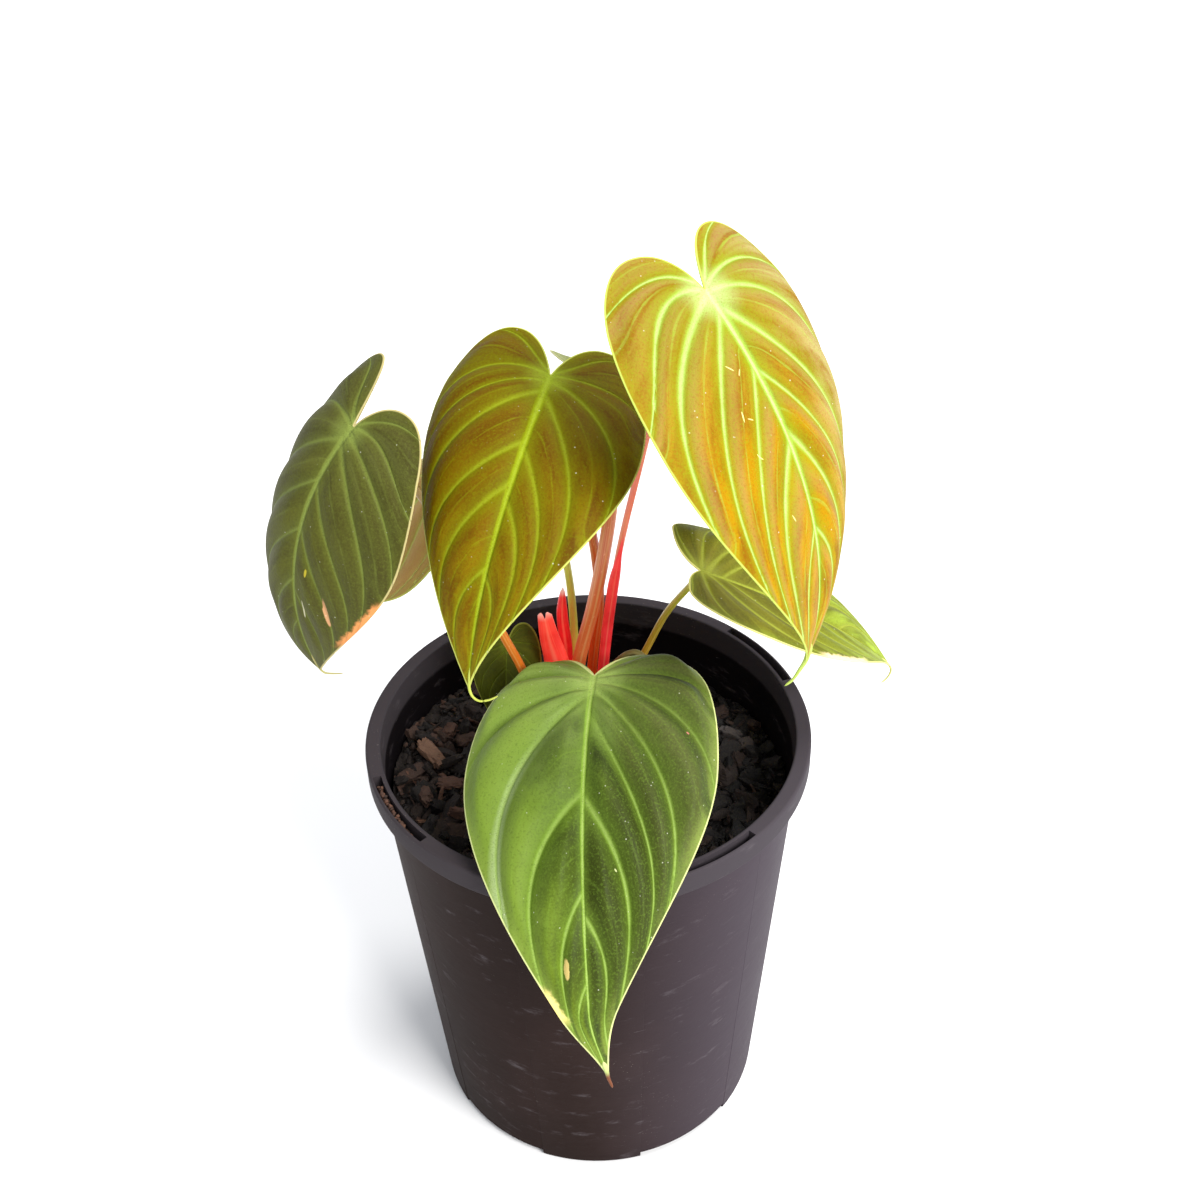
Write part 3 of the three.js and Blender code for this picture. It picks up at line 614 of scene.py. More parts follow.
def add_leaf(name, rows, columns):
    """Two halves and a drip tail as one piece, with one material above and one below."""
    leaf = LEAVES[name]
    halves = [leaf_half(name, side, rows, columns) for side in (0, 1)]
    tail = drip_tail(name, leaf)
    part = join_parts([halves[0][0], halves[1][0], tail])
    kinds = np.concatenate([halves[0][1], halves[1][1], np.zeros(len(tail[1]), int)])
    node = "leaf_" + name
    materials = [leaf_top(name, leaf), leaf_underside(name, leaf)]
    add_piece(node + "_blade", part, materials, [node], kinds)


# Materials

class Wire:
    """One socket of a material, on which sums are written as Python expressions."""

    def __init__(self, finish, socket):
        self.finish = finish
        self.socket = socket

    def math(self, operation, *others):
        """A Math node whose first value is this wire."""
        return self.finish.math(operation, self, *others)

    def __add__(self, other):
        return self.math("ADD", other)

    __radd__ = __add__

    def __sub__(self, other):
        return self.math("SUBTRACT", other)

    def __rsub__(self, other):
        return self.finish.math("SUBTRACT", other, self)

    def __mul__(self, other):
        return self.math("MULTIPLY", other)

    __rmul__ = __mul__

    def __truediv__(self, other):
        return self.math("DIVIDE", other)

    def __rtruediv__(self, other):
        return self.finish.math("DIVIDE", other, self)

    def __pow__(self, other):
        return self.math("POWER", other)

    def __abs__(self):
        return self.math("ABSOLUTE")

    def window(self, start, full, fading, end):
        """0 at start, 1 from full to fading, 0 at end."""
        return self.band(start, full) * self.band(end, fading)

    def band(self, low, high):
        """0 at low, 1 at high, smooth between; high may be the smaller one."""
        rising = high > low
        start, end = (0.0, 1.0) if rising else (1.0, 0.0)
        values = {0: self, 1: min(low, high), 2: max(low, high), 3: start, 4: end}
        return self.finish.node("ShaderNodeMapRange", {"interpolation_type": "SMOOTHSTEP"}, values)


class Finish:
    """A material with a Principled shader; its methods add the nodes that feed the shader."""

    def __init__(self, name, roughness, specular=0.5, coat=0.0, glow=0.0):
        self.material = bpy.data.materials.new(name)
        self.material.use_nodes = True
        self.tree = self.material.node_tree
        self.shader = self.tree.nodes["Principled BSDF"]
        # glow is the strength of a painted glow: paint also feeds the colour to the emission.
        self.glows = glow > 0
        constants = {"Roughness": roughness, "Specular IOR Level": specular, "Coat Weight": coat,
                     "Coat Roughness": 0.25, "Emission Strength": glow}
        for socket, value in constants.items():
            self.shader.inputs[socket].default_value = value

    def node(self, kind, settings, values, output=0):
        """Add one node: its settings first, then the values or links of its sockets."""
        added = self.tree.nodes.new(kind)
        for key, value in settings.items():
            if key == "stops":
                self.set_stops(added.color_ramp, value)
            else:
                setattr(added, key, value)
        for key, value in values.items():
            self.feed(added.inputs[key], value)
        return Wire(self, added.outputs[output])

    def set_stops(self, ramp, stops):
        """Give a colour ramp its pairs of position and colour."""
        while len(ramp.elements) < len(stops):
            ramp.elements.new(1.0)
        for element, (position, color) in zip(ramp.elements, stops):
            element.position = position
            element.color = color

    def feed(self, socket, value):
        """Link a socket to a wire, or set its number or colour."""
        if isinstance(value, Wire):
            self.tree.links.new(value.socket, socket)
        else:
            socket.default_value = value

    def math(self, operation, *values):
        """One Math node."""
        return self.node("ShaderNodeMath", {"operation": operation}, dict(enumerate(values)))

    def blend(self, factor, first, second):
        """Mix two colours."""
        settings = {"data_type": "RGBA"}
        return self.node("ShaderNodeMix", settings, {0: factor, 6: first, 7: second}, output=2)

    def layers(self, color, *covers):
        """Lay colours over a colour in turn, each given as a pair of its mask and itself."""
        for mask, cover in covers:
            color = self.blend(mask, color, cover)
        return color

    def ramp(self, factor, stops):
        """Colours that follow one another as the factor grows."""
        return self.node("ShaderNodeValToRGB", {"stops": stops}, {0: factor})

    def attribute(self, name):
        """The three numbers of a mesh attribute."""
        vector = self.node("ShaderNodeAttribute", {"attribute_name": name}, {}, output=1)
        return self.split(vector)

    def split(self, vector):
        """The three numbers of a vector."""
        node = self.tree.nodes.new("ShaderNodeSeparateXYZ")
        self.feed(node.inputs[0], vector)
        return [Wire(self, socket) for socket in node.outputs]

    def join(self, x, y, z):
        """A vector of three numbers."""
        return self.node("ShaderNodeCombineXYZ", {}, {0: x, 1: y, 2: z})

    def position(self):
        """Object coordinates, which for every piece are the part's own frame in metres."""
        return self.node("ShaderNodeTexCoord", {}, {}, output=3)

    def stretched(self, x, y, z):
        """Object coordinates times a number for each axis."""
        values = {0: self.position(), 1: (x, y, z)}
        return self.node("ShaderNodeVectorMath", {"operation": "MULTIPLY"}, values)

    def noise(self, scale, detail=3.0, roughness=0.55, distortion=0.0, vector=None):
        """Fractal noise from 0 to 1 over a vector, by default the object coordinates."""
        where = self.position() if vector is None else vector
        values = {"Vector": where, "Scale": scale, "Detail": detail, "Roughness": roughness,
                  "Distortion": distortion}
        return self.node("ShaderNodeTexNoise", {}, values)

    def cells(self, scale):
        """Distance to the nearest of a cloud of random points."""
        return self.node("ShaderNodeTexVoronoi", {}, {"Vector": self.position(), "Scale": scale})

    def paint(self, color, roughness=None, height=None):
        """Feed the shader: colour, roughness, and a height in mm that becomes a bump."""
        self.feed(self.shader.inputs["Base Color"], color)
        # Painted glow: the colour also becomes emission.
        if self.glows:
            self.feed(self.shader.inputs["Emission Color"], color)
        if roughness is not None:
            self.feed(self.shader.inputs["Roughness"], roughness)
        if height is not None:
            bump = self.node("ShaderNodeBump", {}, {"Strength": 1.0, "Distance": MM, "Height": height})
            self.feed(self.shader.inputs["Normal"], bump)
        return self.material


def tint(*parts):
    """A colour given as red, green and blue from 0 to 255, made linear."""
    shares = [part / 255 for part in parts]
    return (*(s / 12.92 if s <= 0.04045 else ((s + 0.055) / 1.055) ** 2.4 for s in shares), 1)


# Colours of each blade, in this order: the tissue near the base, in the middle and at the tip, its dark
# patches, the stripe on one side of each vein, which is partly the leaf's colour and partly painted shade
# of the valley beside the vein, the glow round the veins, the veins, the notch, the zone along the
# margin, the margin's own line, and the outer part of the right half.
COLOR_NAMES = ("base", "middle", "tip", "patch", "stripe_and_shade", "glow", "vein", "notch", "zone", "margin", "right")
COLOR_ROWS = {
    "gold": ((142, 122, 44), (158, 116, 2), (184, 136, 2), (128, 84, 3), (164, 130, 82), (128, 142, 14),
        (148, 186, 70), (198, 228, 152), (148, 138, 20), (178, 196, 88), (166, 156, 104)),
    "olive": ((97, 88, 1), (102, 79, 1), (128, 105, 3), (88, 57, 1), (108, 78, 4), (106, 109, 4),
        (132, 148, 15), (152, 170, 46), (123, 123, 4), (186, 193, 93), (117, 102, 1)),
    "left": ((80, 81, 37), (77, 78, 22), (70, 72, 5), (54, 51, 11), (65, 62, 20), (86, 93, 30),
        (112, 124, 52), (126, 142, 66), (79, 81, 20), (177, 165, 112), (63, 65, 19)),
    # The front leaf's pale base tone is partly a painted sheen on its upper part.
    "front": ((136, 156, 88), (84, 106, 30), (94, 112, 12), (54, 70, 13), (50, 60, 26), (98, 126, 38),
        (128, 160, 58), (162, 184, 102), (140, 158, 74), (196, 204, 136), (72, 74, 36)),
    "right": ((109, 102, 24), (97, 98, 9), (167, 196, 65), (67, 67, 4), (83, 80, 15), (112, 115, 26),
        (146, 156, 50), (146, 151, 56), (127, 144, 41), (213, 209, 125), (109, 116, 24)),
    "back_left": ((167, 133, 64), (171, 135, 72), (147, 133, 57), (154, 109, 59), (161, 119, 61),
        (156, 143, 61), (161, 169, 75), (171, 180, 86), (126, 121, 39), (171, 174, 77), (169, 129, 72)),
    "low": ((82, 86, 17), (69, 74, 5), (78, 86, 7), (56, 60, 3), (61, 65, 5), (74, 82, 9), (91, 102, 20),
        (104, 117, 28), (78, 86, 11), (130, 136, 52), (71, 76, 5)),
    "back": ((134, 140, 87), (121, 126, 69), (115, 125, 60), (102, 106, 52), (115, 119, 65), (138, 143, 87),
        (158, 166, 104), (166, 173, 113), (141, 145, 91), (173, 173, 126), (132, 136, 84)),
}
LEAF_COLORS = {name: dict(zip(COLOR_NAMES, row)) for name, row in COLOR_ROWS.items()}

# Scars and spots: place along and across the blade, half length, half width, turn and colour.
MARKS = {
    "gold": ((21, -8, 1.2, 0.16, 30, (226, 220, 140)), (23, -6.4, 1.0, 0.16, -40, (226, 220, 140)),
             (32.5, -12, 1.4, 0.18, -15, (226, 220, 140)), (34, -10, 1.1, 0.16, 60, (226, 220, 140)),
             (43, -12, 1.2, 0.18, 30, (226, 220, 140)), (61, -9, 1.0, 0.16, 10, (226, 220, 140))),
    "left": ((54, 11.3, 5.0, 0.8, 8, (196, 146, 104)), (56, 3.3, 2.8, 0.3, 5, (186, 182, 150)),
             (43.5, 4.7, 1.3, 0.4, 0, (170, 156, 40))),
    "front": ((90.5, -5.4, 3.0, 0.8, 0, (204, 180, 110)), (20.6, 28.9, 0.6, 0.5, 0, (190, 120, 110)),
              (64, 9, 0.6, 0.3, 30, (190, 196, 140))),
    "right": ((30, 8, 1.2, 0.3, 40, (176, 168, 104)),),
}

# Stretches of margin that have dried: the half (-1 left, 1 right), from and to along, width, colour.
DRY_EDGES = {
    "left": (1, 45, 66, 2.3, (212, 140, 80)),
    "front": (-1, 96, 106, 2.4, (230, 214, 130)),
    "right": (-1, 36, 58, 2.2, (232, 206, 160)),
}


def vein_masks(finish, leaf, rib_width=1.0):
    """Masks from the blade's own values: side veins, the glow round them, midrib, notch, margin."""
    between, gap, vein_width = finish.attribute("vein")
    along, signed, to_margin = finish.attribute("place")
    scale = leaf_scale(leaf)
    wander = finish.noise(130.0, 2.0) - 0.5
    share = finish.math("FRACT", between)
    valley = abs(finish.math("FRACT", between + 0.5) - 0.5) * 2
    ratio = (valley * gap * 0.5 + wander * 0.6) / vein_width
    middle = abs(share - 0.5) * gap
    across = abs(signed)
    rib = (across + wander * 0.5) / ((1.35 - along * 1.05) * scale * rib_width)
    from_notch = finish.math("SQRT", (along * leaf["length"] - 2.0) ** 2 + across ** 2)
    return SimpleNamespace(
        between=between, along=along, signed=signed, to_margin=to_margin, wander=wander,
        core=ratio.band(0.5, 0.0),
        vein=ratio.band(1.0, 0.15),
        glow=ratio.band(3.6, 0.4),
        thin=(middle + wander * 0.9).band(0.42, 0.1) * gap.band(5.0, 9.0),
        stripe_and_shade=share.window(0.06, 0.2, 0.24, 0.5),
        rib_core=rib.band(0.6, 0.1),
        rib=rib.band(1.5, 0.5),
        rib_glow=rib.band(4.5, 0.8),
        notch=from_notch.band(10 * scale, 1.0),
        zone=to_margin.band(4.5 * scale, 0.0),
        line=(to_margin + wander * 0.2).band(0.6, 0.3))


def marked(finish, name, leaf, masks, color):
    """Lay the leaf's scars, its dry edge and a few pale specks over its colour."""
    along = masks.along * leaf["length"]
    ragged = finish.noise(600.0, 2.0) - 0.5
    for u, v, half_length, half_width, turn, shade in MARKS.get(name, ()):
        cosine, sine = math.cos(math.radians(turn)), math.sin(math.radians(turn))
        du, dv = along - u, masks.signed - v
        lengthwise = (du * cosine + dv * sine) / half_length
        sidewise = (dv * cosine - du * sine) / half_width
        spread = lengthwise ** 2 + sidewise ** 2 + ragged * 1.4
        color = finish.blend(spread.band(1.15, 0.6) * 0.9, color, tint(*shade))
    if name in DRY_EDGES:
        half, start, end, width, shade = DRY_EDGES[name]
        stretch = along.window(start - 2, start + 3, end - 3, end + 2)
        depth = (masks.to_margin + ragged * 2.4).band(width, width * 0.45)
        own_half = (masks.signed * half).band(0.0, 1.0)
        color = finish.blend(stretch * depth * own_half, color, tint(*shade))
    pale_specks = finish.cells(420.0).band(0.11, 0.05) * (ragged + 0.5).band(0.5, 0.62)
    return finish.blend(pale_specks * 0.45, color, tint(236, 236, 214))


# How strongly the parts of a blade show: patches, the stripe with its painted shade, glow, veins, thin
# veins; then the width of the pale midrib against that of the gold leaf.
CONTRAST = {
    "gold": (0.95, 0.5, 0.6, 0.7, 0.45, 1.0), "olive": (0.9, 0.5, 0.6, 0.42, 0.3, 1.05),
    "left": (0.7, 0.5, 0.5, 0.42, 0.25, 0.9), "front": (0.5, 1.0, 0.4, 0.6, 0.15, 0.55),
    "right": (0.7, 0.5, 0.5, 0.6, 0.2, 0.7), "low": (0.6, 0.4, 0.4, 0.5, 0.1, 0.6),
}
SOME_CONTRAST = (0.6, 0.5, 0.5, 0.6, 0.2, 0.8)


def front_leaf_light_and_shade(masks, shifted):
    """Painted light and shade on the front leaf: a painted highlight on its left part, painted shade round
    the lower midrib, a painted highlight along a lit fold.
    """
    along, between = masks.along, masks.between
    # heart is painted shade: a dark zone round the lower midrib where the blade lies in shade.
    heart = along.window(0.2, 0.42, 0.68, 0.95) * shifted.window(-11.0, -3.0, 15.0, 30.0)
    heart = heart * (shifted.band(-6.0, 4.0) * 0.45 + 0.5)
    # fold is a painted highlight: a pale line along a lit fold in the left half.
    fold = between.window(2.9, 3.0, 3.05, 3.2) * shifted.band(-3.0, -8.0)
    fold = fold * along.window(0.12, 0.35, 0.6, 0.85)
    return (
        # Painted highlight over the outer left part.
        (shifted.band(-8.0, -20.0) * 0.5, tint(126, 152, 56)),
        (heart, tint(46, 54, 8)),
        (fold * 0.5, tint(206, 220, 176)))


# How much light each upper face reflects; the two that the window lights from behind reflect less.
LEAF_SPECULAR = {"gold": 0.05, "olive": 0.05}
SOME_SPECULAR = 0.12


def leaf_top(name, leaf):
    """Satin upper face: patchy tissue, stripes beside the veins that are partly painted shade, glow along
    the veins, bright notch, pale margin; the front leaf also gets painted highlights and painted shade.
    """
    front = name == "front"
    colors = {key: tint(*value) for key, value in LEAF_COLORS[name].items()}
    patches, stripe_and_shade, glow, vein, thin, rib_width = CONTRAST.get(name, SOME_CONTRAST)
    finish = Finish("leaf_" + name + "_top", 0.5, specular=LEAF_SPECULAR.get(name, SOME_SPECULAR))
    masks = vein_masks(finish, leaf, rib_width)
    between, along = masks.between, masks.along
    blotches = finish.noise(1.0, 4.0, 0.6, vector=finish.join(between * 3.0, along * 6.0, 0.0))
    streaks = finish.noise(1.0, 2.0, vector=finish.join(between * 12.0, along * 7.0, 4.0))
    broad = finish.noise(60.0, 2.0)
    grain = finish.noise(1500.0, 2.0, 0.7)
    shifted = masks.signed + masks.wander * 9
    outer_right = shifted.band(1.0, 14.0) * 0.85 if front else shifted.band(6.0, 26.0) * 0.75
    # The stripe beside each vein is partly the leaf's own colour and partly painted shade of the valley next
    # to the vein.
    beside = masks.stripe_and_shade * (0.55 + broad.band(0.3, 0.7) * 0.45)
    if front:
        beside = beside * (1.0 - shifted.band(-1.0, -7.0) * 0.6)
        vein = along.band(0.1, 0.5) * vein * 0.8 + vein * 0.2
    color = finish.ramp(along + broad * 0.2 - 0.1, [
        (0.0, colors["base"]), (0.35, colors["middle"]), (0.95, colors["tip"])])
    color = finish.layers(
        color,
        (outer_right, colors["right"]),
        (masks.zone * 0.6, colors["zone"]),
        (blotches.band(0.38, 0.7) * patches, colors["patch"]),
        (beside * stripe_and_shade, colors["stripe_and_shade"]),
        # The front leaf's painted highlights and painted shade.
        *(front_leaf_light_and_shade(masks, shifted) if front else ()),
        (masks.glow * (0.35 + broad * 0.9) * glow, colors["glow"]),
        (masks.rib_glow * glow, colors["glow"]),
        (masks.thin * streaks.band(0.35, 0.6) * thin, colors["vein"]),
        (masks.vein * vein, colors["vein"]),
        (masks.core * vein * 0.6, colors["notch"]),
        (masks.rib * 0.9, colors["vein"]),
        (masks.rib_core * 0.6, colors["notch"]),
        (masks.notch * 0.55, colors["notch"]),
        (streaks.band(0.45, 0.75) * 0.16, colors["glow"]),
        (grain.band(0.48, 0.7) * 0.4, colors["glow"]),
        (grain.band(0.5, 0.3) * 0.35, colors["patch"]),
        (masks.line, colors["margin"]))
    if front:
        color = finish.blend(along.band(1.006, 1.012), color, tint(110, 66, 44))
    color = marked(finish, name, leaf, masks, color)
    height = grain * 0.12 + blotches * 0.2 - masks.vein * 0.15 - masks.rib * 0.2
    return finish.paint(color, 0.44 + broad * 0.12 + grain * 0.1, height)


def leaf_underside(name, leaf):
    """Smoother, paler lower face with raised pale veins."""
    pale_olive = (176, 172, 90)

    def paler(key, share=0.35):
        """One of the leaf's colours, taken some way towards a pale olive."""
        return tint(*(mix(part, pale, share) for part, pale in zip(LEAF_COLORS[name][key], pale_olive)))

    finish = Finish("leaf_" + name + "_underside", 0.42, specular=0.3)
    masks = vein_masks(finish, leaf)
    broad = finish.noise(50.0, 3.0)
    color = finish.layers(
        finish.blend(broad, paler("middle"), paler("base")),
        (masks.glow * 0.5, paler("glow")),
        (masks.vein * 0.8, paler("vein", 0.5)),
        (masks.rib, paler("notch", 0.4)),
        (masks.line, paler("margin")))
    return finish.paint(color, 0.38 + broad * 0.12, masks.vein * 0.2 + broad * 0.05)


# Petioles

# Radius in mm and the points between the crown and the blade; the colours run from foot to blade, and
# glow is the strength of a painted glow, emission in the stalk's own colour for light shining through.
CROWN_FOOT = 132
SOME_PAINTED_GLOW = 0.02
PETIOLES = {
    "gold": dict(radius=1.05, slot="petiole_red", path=(
        (4, 16, CROWN_FOOT), (5.5, 15, 161), (8.5, 11.5, 191), (11.5, 8, 213), (17, 4, 242), (24, -1, 275)),
        colors=((0, (236, 60, 60)), (0.45, (236, 104, 84)), (0.8, (236, 128, 96)), (1, (226, 200, 110)))),
    "olive": dict(radius=1.6, slot="petiole_red", path=(
        (1, 20.5, CROWN_FOOT), (2.3, 20.5, 160), (5, 20, 185), (4.3, 19.5, 202), (2.5, 17, 218),
        (-1.5, 9, 249)),
        colors=((0, (236, 100, 30)), (0.3, (222, 92, 24)), (0.6, (176, 62, 12)), (1, (170, 96, 30)))),
    "left": dict(radius=1.4, slot="petiole_orange", path=(
        (-9.5, 9.8, CROWN_FOOT), (-14.5, 7, 150), (-20, 4.6, 171.5), (-24, 1.2, 185.5), (-33, -6.5, 217),
        (-45, -12, 250)),
        glow=0.06,
        colors=((0, (220, 112, 34)), (0.3, (206, 104, 20)), (0.7, (160, 112, 36)), (1, (150, 140, 56)))),
    "front": dict(radius=1.8, slot="petiole_red", path=(
        (1.5, 10.5, CROWN_FOOT), (2.5, 7.5, 145), (3, 1, 162)),
        colors=((0, (206, 90, 50)), (0.5, (196, 84, 50)), (1, (176, 150, 80)))),
    "right": dict(radius=1.2, slot="petiole_green", path=(
        (8.5, 17, CROWN_FOOT), (11, 19.5, 147), (19, 18, 165), (26, 15, 183)),
        colors=((0, (206, 130, 36)), (0.4, (206, 156, 40)), (0.75, (180, 168, 44)), (1, (160, 180, 56)))),
    "back_left": dict(radius=1.3, slot="petiole_green", path=(
        (-3, 24, CROWN_FOOT), (-3.2, 24.5, 165), (-4.2, 25.5, 190), (-7.5, 26, 212), (-12.5, 24.5, 227)),
        colors=((0, (206, 190, 80)), (0.3, (216, 228, 96)), (0.7, (186, 202, 70)), (1, (170, 180, 80)))),
    "low": dict(radius=1.2, slot="petiole_green", path=(
        (-12, 20.5, CROWN_FOOT), (-15.5, 22.5, 148), (-18.5, 24, 162), (-21.5, 23.5, 168)),
        colors=((0, (150, 130, 50)), (0.5, (140, 138, 50)), (1, (120, 130, 50)))),
    "back": dict(radius=2.2, slot="petiole_orange", path=(
        (-4.5, 14.5, CROWN_FOOT), (-2.5, 13.5, 163), (3, 13, 188), (7, 14.5, 208), (9.5, 19, 222),
        (11.5, 30, 237)),
        glow=0.06,
        colors=((0, (232, 110, 36)), (0.35, (218, 106, 54)), (0.7, (194, 86, 40)), (1, (180, 150, 70)))),
}

# In mm: height of the midrib under a blade's notch, and the air between neighbouring solids.
RIDGE = 1.3
GAP = 0.3


def petiole_line(name, steps):
    """From the crown to just under the blade's midrib at the notch."""
    leaf = LEAVES[name]
    stalk = PETIOLES[name]
    point, along, _, normal = (part[0] for part in midrib(leaf, np.array([0.0])))
    arrival = unit(point - np.array(stalk["path"][-1], float))
    overhang = stalk["radius"] * math.sqrt(1 - float(arrival @ normal) ** 2)
    end = point - normal * (RIDGE * 0.5 + overhang) + along * stalk["radius"]
    return curve_through([*stalk["path"], end], steps)


def add_petiole(name):
    """Stouter at the foot, slimmer higher up, with a slight swelling under the blade."""
    stalk = PETIOLES[name]
    line = petiole_line(name, 90)
    share = np.linspace(0, 1, len(line))
    radius = stalk["radius"] * (mix(1.05, 0.86, share) + 0.16 * np.exp(-((share - 0.95) / 0.04) ** 2))
    radius *= np.sqrt(np.clip((1.003 - share) / 0.012, 0.05, 1))
    part = tube(line, radius, sides=22, flatness=0.92)
    material = petiole_finish(name, stalk)
    add_piece("stalk_" + name, part, [material], ["petiole_" + name])


def petiole_finish(name, stalk):
    """Glossy skin with fine lengthwise lines and pale flecks, and a painted glow: emission in its own
    colour that stands in for light shining through from behind.
    """
    finish = Finish("petiole_" + name, 0.34, coat=0.15, glow=stalk.get("glow", SOME_PAINTED_GLOW))
    along, around, length = finish.attribute("along")
    lines = finish.noise(1.0, 2.0, vector=finish.join(around * 16.0, length * 0.02, 0.0))
    spots = finish.noise(1.4, 2.0, vector=finish.join(around * 10.0, length * 0.5, 0.0))
    color = finish.layers(
        finish.ramp(along, [(place, tint(*value)) for place, value in stalk["colors"]]),
        (lines.band(0.45, 0.7) * 0.35, tint(236, 200, 130)),
        (spots.band(0.62, 0.75) * 0.5, tint(240, 170, 120)))
    return finish.paint(color, 0.3 + spots * 0.12, lines * 0.12)


# Sheaths

# The path up the middle of each sheath, its width and depth at foot, middle and tip, how deep the notch
# is, how blunt the tip closes, and its colours.
SHEATHS = {
    "sheath_red_large": dict(
        path=((-10.2, 14.5, CROWN_FOOT), (-9.5, 13, 150), (-9, 12, 166), (-11, 11.5, 178),
              (-12.2, 10.5, 188.5)),
        width=(6, 8, 3.8), depth=(4, 4.5, 2), notch=2.4, bluntness=0.0, color=(255, 66, 54),
        tip=(252, 156, 140)),
    "sheath_red_small": dict(
        path=((-7.3, 20.3, CROWN_FOOT), (-6.5, 21, 150), (-6.1, 21, 166), (-6.8, 20, 180), (-6.2, 19, 191)),
        width=(3.6, 3.8, 2.6), depth=(2.6, 2.8, 2.0), notch=0, bluntness=1.0, color=(236, 30, 38),
        tip=(240, 206, 190)),
}

# Height in mm, half the angle that the section spans at the foot, and where the horns of the top stand.
SHEATH = {"height": 57, "span": 168, "horn": 0.26}


def three_way(values, share):
    """From foot to middle in a straight line, then to the tip with a power of 1.3."""
    foot, middle, end = values
    upper = np.clip(2 * share - 1, 0, 1) ** 1.3
    return np.where(share < 0.5, mix(foot, middle, 2 * share), mix(middle, end, upper))


def add_sheath(name):
    """A folded, keeled bract: a thin curved sheet, nearly closed at its foot, with a notched tip.

    The section at share t is an ellipse from -a to a, open at the back. The top edge dips in the
    middle and falls off at the sides, so that two horns stay.
    """
    sheath = SHEATHS[name]
    rows, columns = 70, 41
    line = curve_through(sheath["path"], rows - 1)
    turn = np.linspace(-1, 1, columns)
    dip = sheath["notch"] * np.exp(-(turn / 0.12) ** 2) + 2.0 * smooth(SHEATH["horn"], 1, abs(turn))
    top = 1 - dip / SHEATH["height"]
    share = np.linspace(0, 1, rows)[:, None] * top[None]
    place = look_up(share, np.linspace(0, 1, rows), line)
    right, forward = frames_along(line, (1, 0, 0))
    row = np.broadcast_to(np.arange(rows)[:, None], share.shape)
    spread = math.radians(SHEATH["span"]) * (1 - 0.35 * smooth(0.55, 1.0, share))
    angle = -math.pi / 2 + turn[None] * spread
    closing = mix(1, np.sqrt(np.clip((1 - share) / 0.16, 0.02, 1)), sheath["bluntness"])
    width = three_way(sheath["width"], share) / 2 * closing
    depth = three_way(sheath["depth"], share) / 2 * closing
    keel = 1 + 0.1 * np.exp(-(turn[None] / 0.1) ** 2)
    middle = oval(place, right[row], forward[row], width, depth * keel, angle)
    along = together(share, turn, share * SHEATH["height"])
    part = shell(middle, mix(0.75, 0.3, share), {"along": along})
    material = sheath_finish(name, sheath["color"], sheath["tip"])
    add_piece(name + "_bract", part, [material], [name])


def sheath_finish(name, color, tip):
    """Waxy red skin with a lighter keel, lengthwise lines and a pale, dry tip; a painted glow, emission in
    its own colour, stands in for light shining through from behind.
    """
    finish = Finish(name, 0.3, coat=0.2, glow=0.17)
    along, turn, length = finish.attribute("along")
    lines = finish.noise(1.0, 2.0, vector=finish.join(turn * 14.0, length * 0.03, 0.0))
    patches = finish.noise(160.0, 3.0)
    deeper = tint(color[0] * 0.92, color[1] * 0.7, color[2] * 0.7)
    base = finish.layers(
        finish.blend(patches.band(0.35, 0.7), tint(*color), deeper),
        (lines.band(0.5, 0.75) * 0.3, tint(255, 130, 100)),
        (abs(turn).band(0.13, 0.0) * 0.35, tint(250, 140, 110)),
        ((along + patches * 0.06).band(0.965, 1.03), tint(*tip)))
    return finish.paint(base, 0.28 + patches * 0.12, lines * 0.15)


# Shares of the petiole where it starts and ends, thickness in mm, degrees left open, length in mm, colours.
CLASP = {"start": 0.03, "end": 0.5, "wall": 0.5, "open": 120, "length": 74,
         "color": (250, 50, 58), "tip": (236, 130, 106)}


def add_clasp():
    """The sheath round the gold leaf's petiole: part of a tube that narrows to a free tip."""
    rows, columns = 90, 29
    whole = petiole_line("gold", 200)
    line = resample(whole, np.linspace(CLASP["start"], CLASP["end"], rows))
    right, forward = frames_along(line, (1, 0, 0))
    share = np.linspace(0, 1, rows)[:, None]
    turn = np.linspace(-1, 1, columns)[None]
    narrowing = (1 - 0.55 * share ** 2) * (1 - 0.96 * smooth(0.68, 1, share))
    half = math.radians((360 - CLASP["open"]) / 2) * narrowing
    angle = -math.pi / 2 + turn * half
    radius = PETIOLES["gold"]["radius"] * 1.05 + 0.2 + CLASP["wall"] / 2 + 0.25 * smooth(0.8, 1, share)
    middle = oval(line[:, None], right[:, None], forward[:, None], radius, radius, angle)
    along = together(share, turn, share * CLASP["length"])
    thickness = np.broadcast_to(CLASP["wall"] * mix(1, 0.45, share), angle.shape)
    part = shell(middle, thickness, {"along": along})
    material = sheath_finish("sheath_gold", CLASP["color"], CLASP["tip"])
    add_piece("sheath_gold_bract", part, [material], ["sheath_gold"])


# Root and crown

ROOT_PATH = ((5, 21.5, CROWN_FOOT), (7.5, 20, 150), (10.5, 14.5, 165), (15.7, 13, 169), (20, 12.5, 165),
             (24.5, 11.5, 150), (25.5, 11, 128))


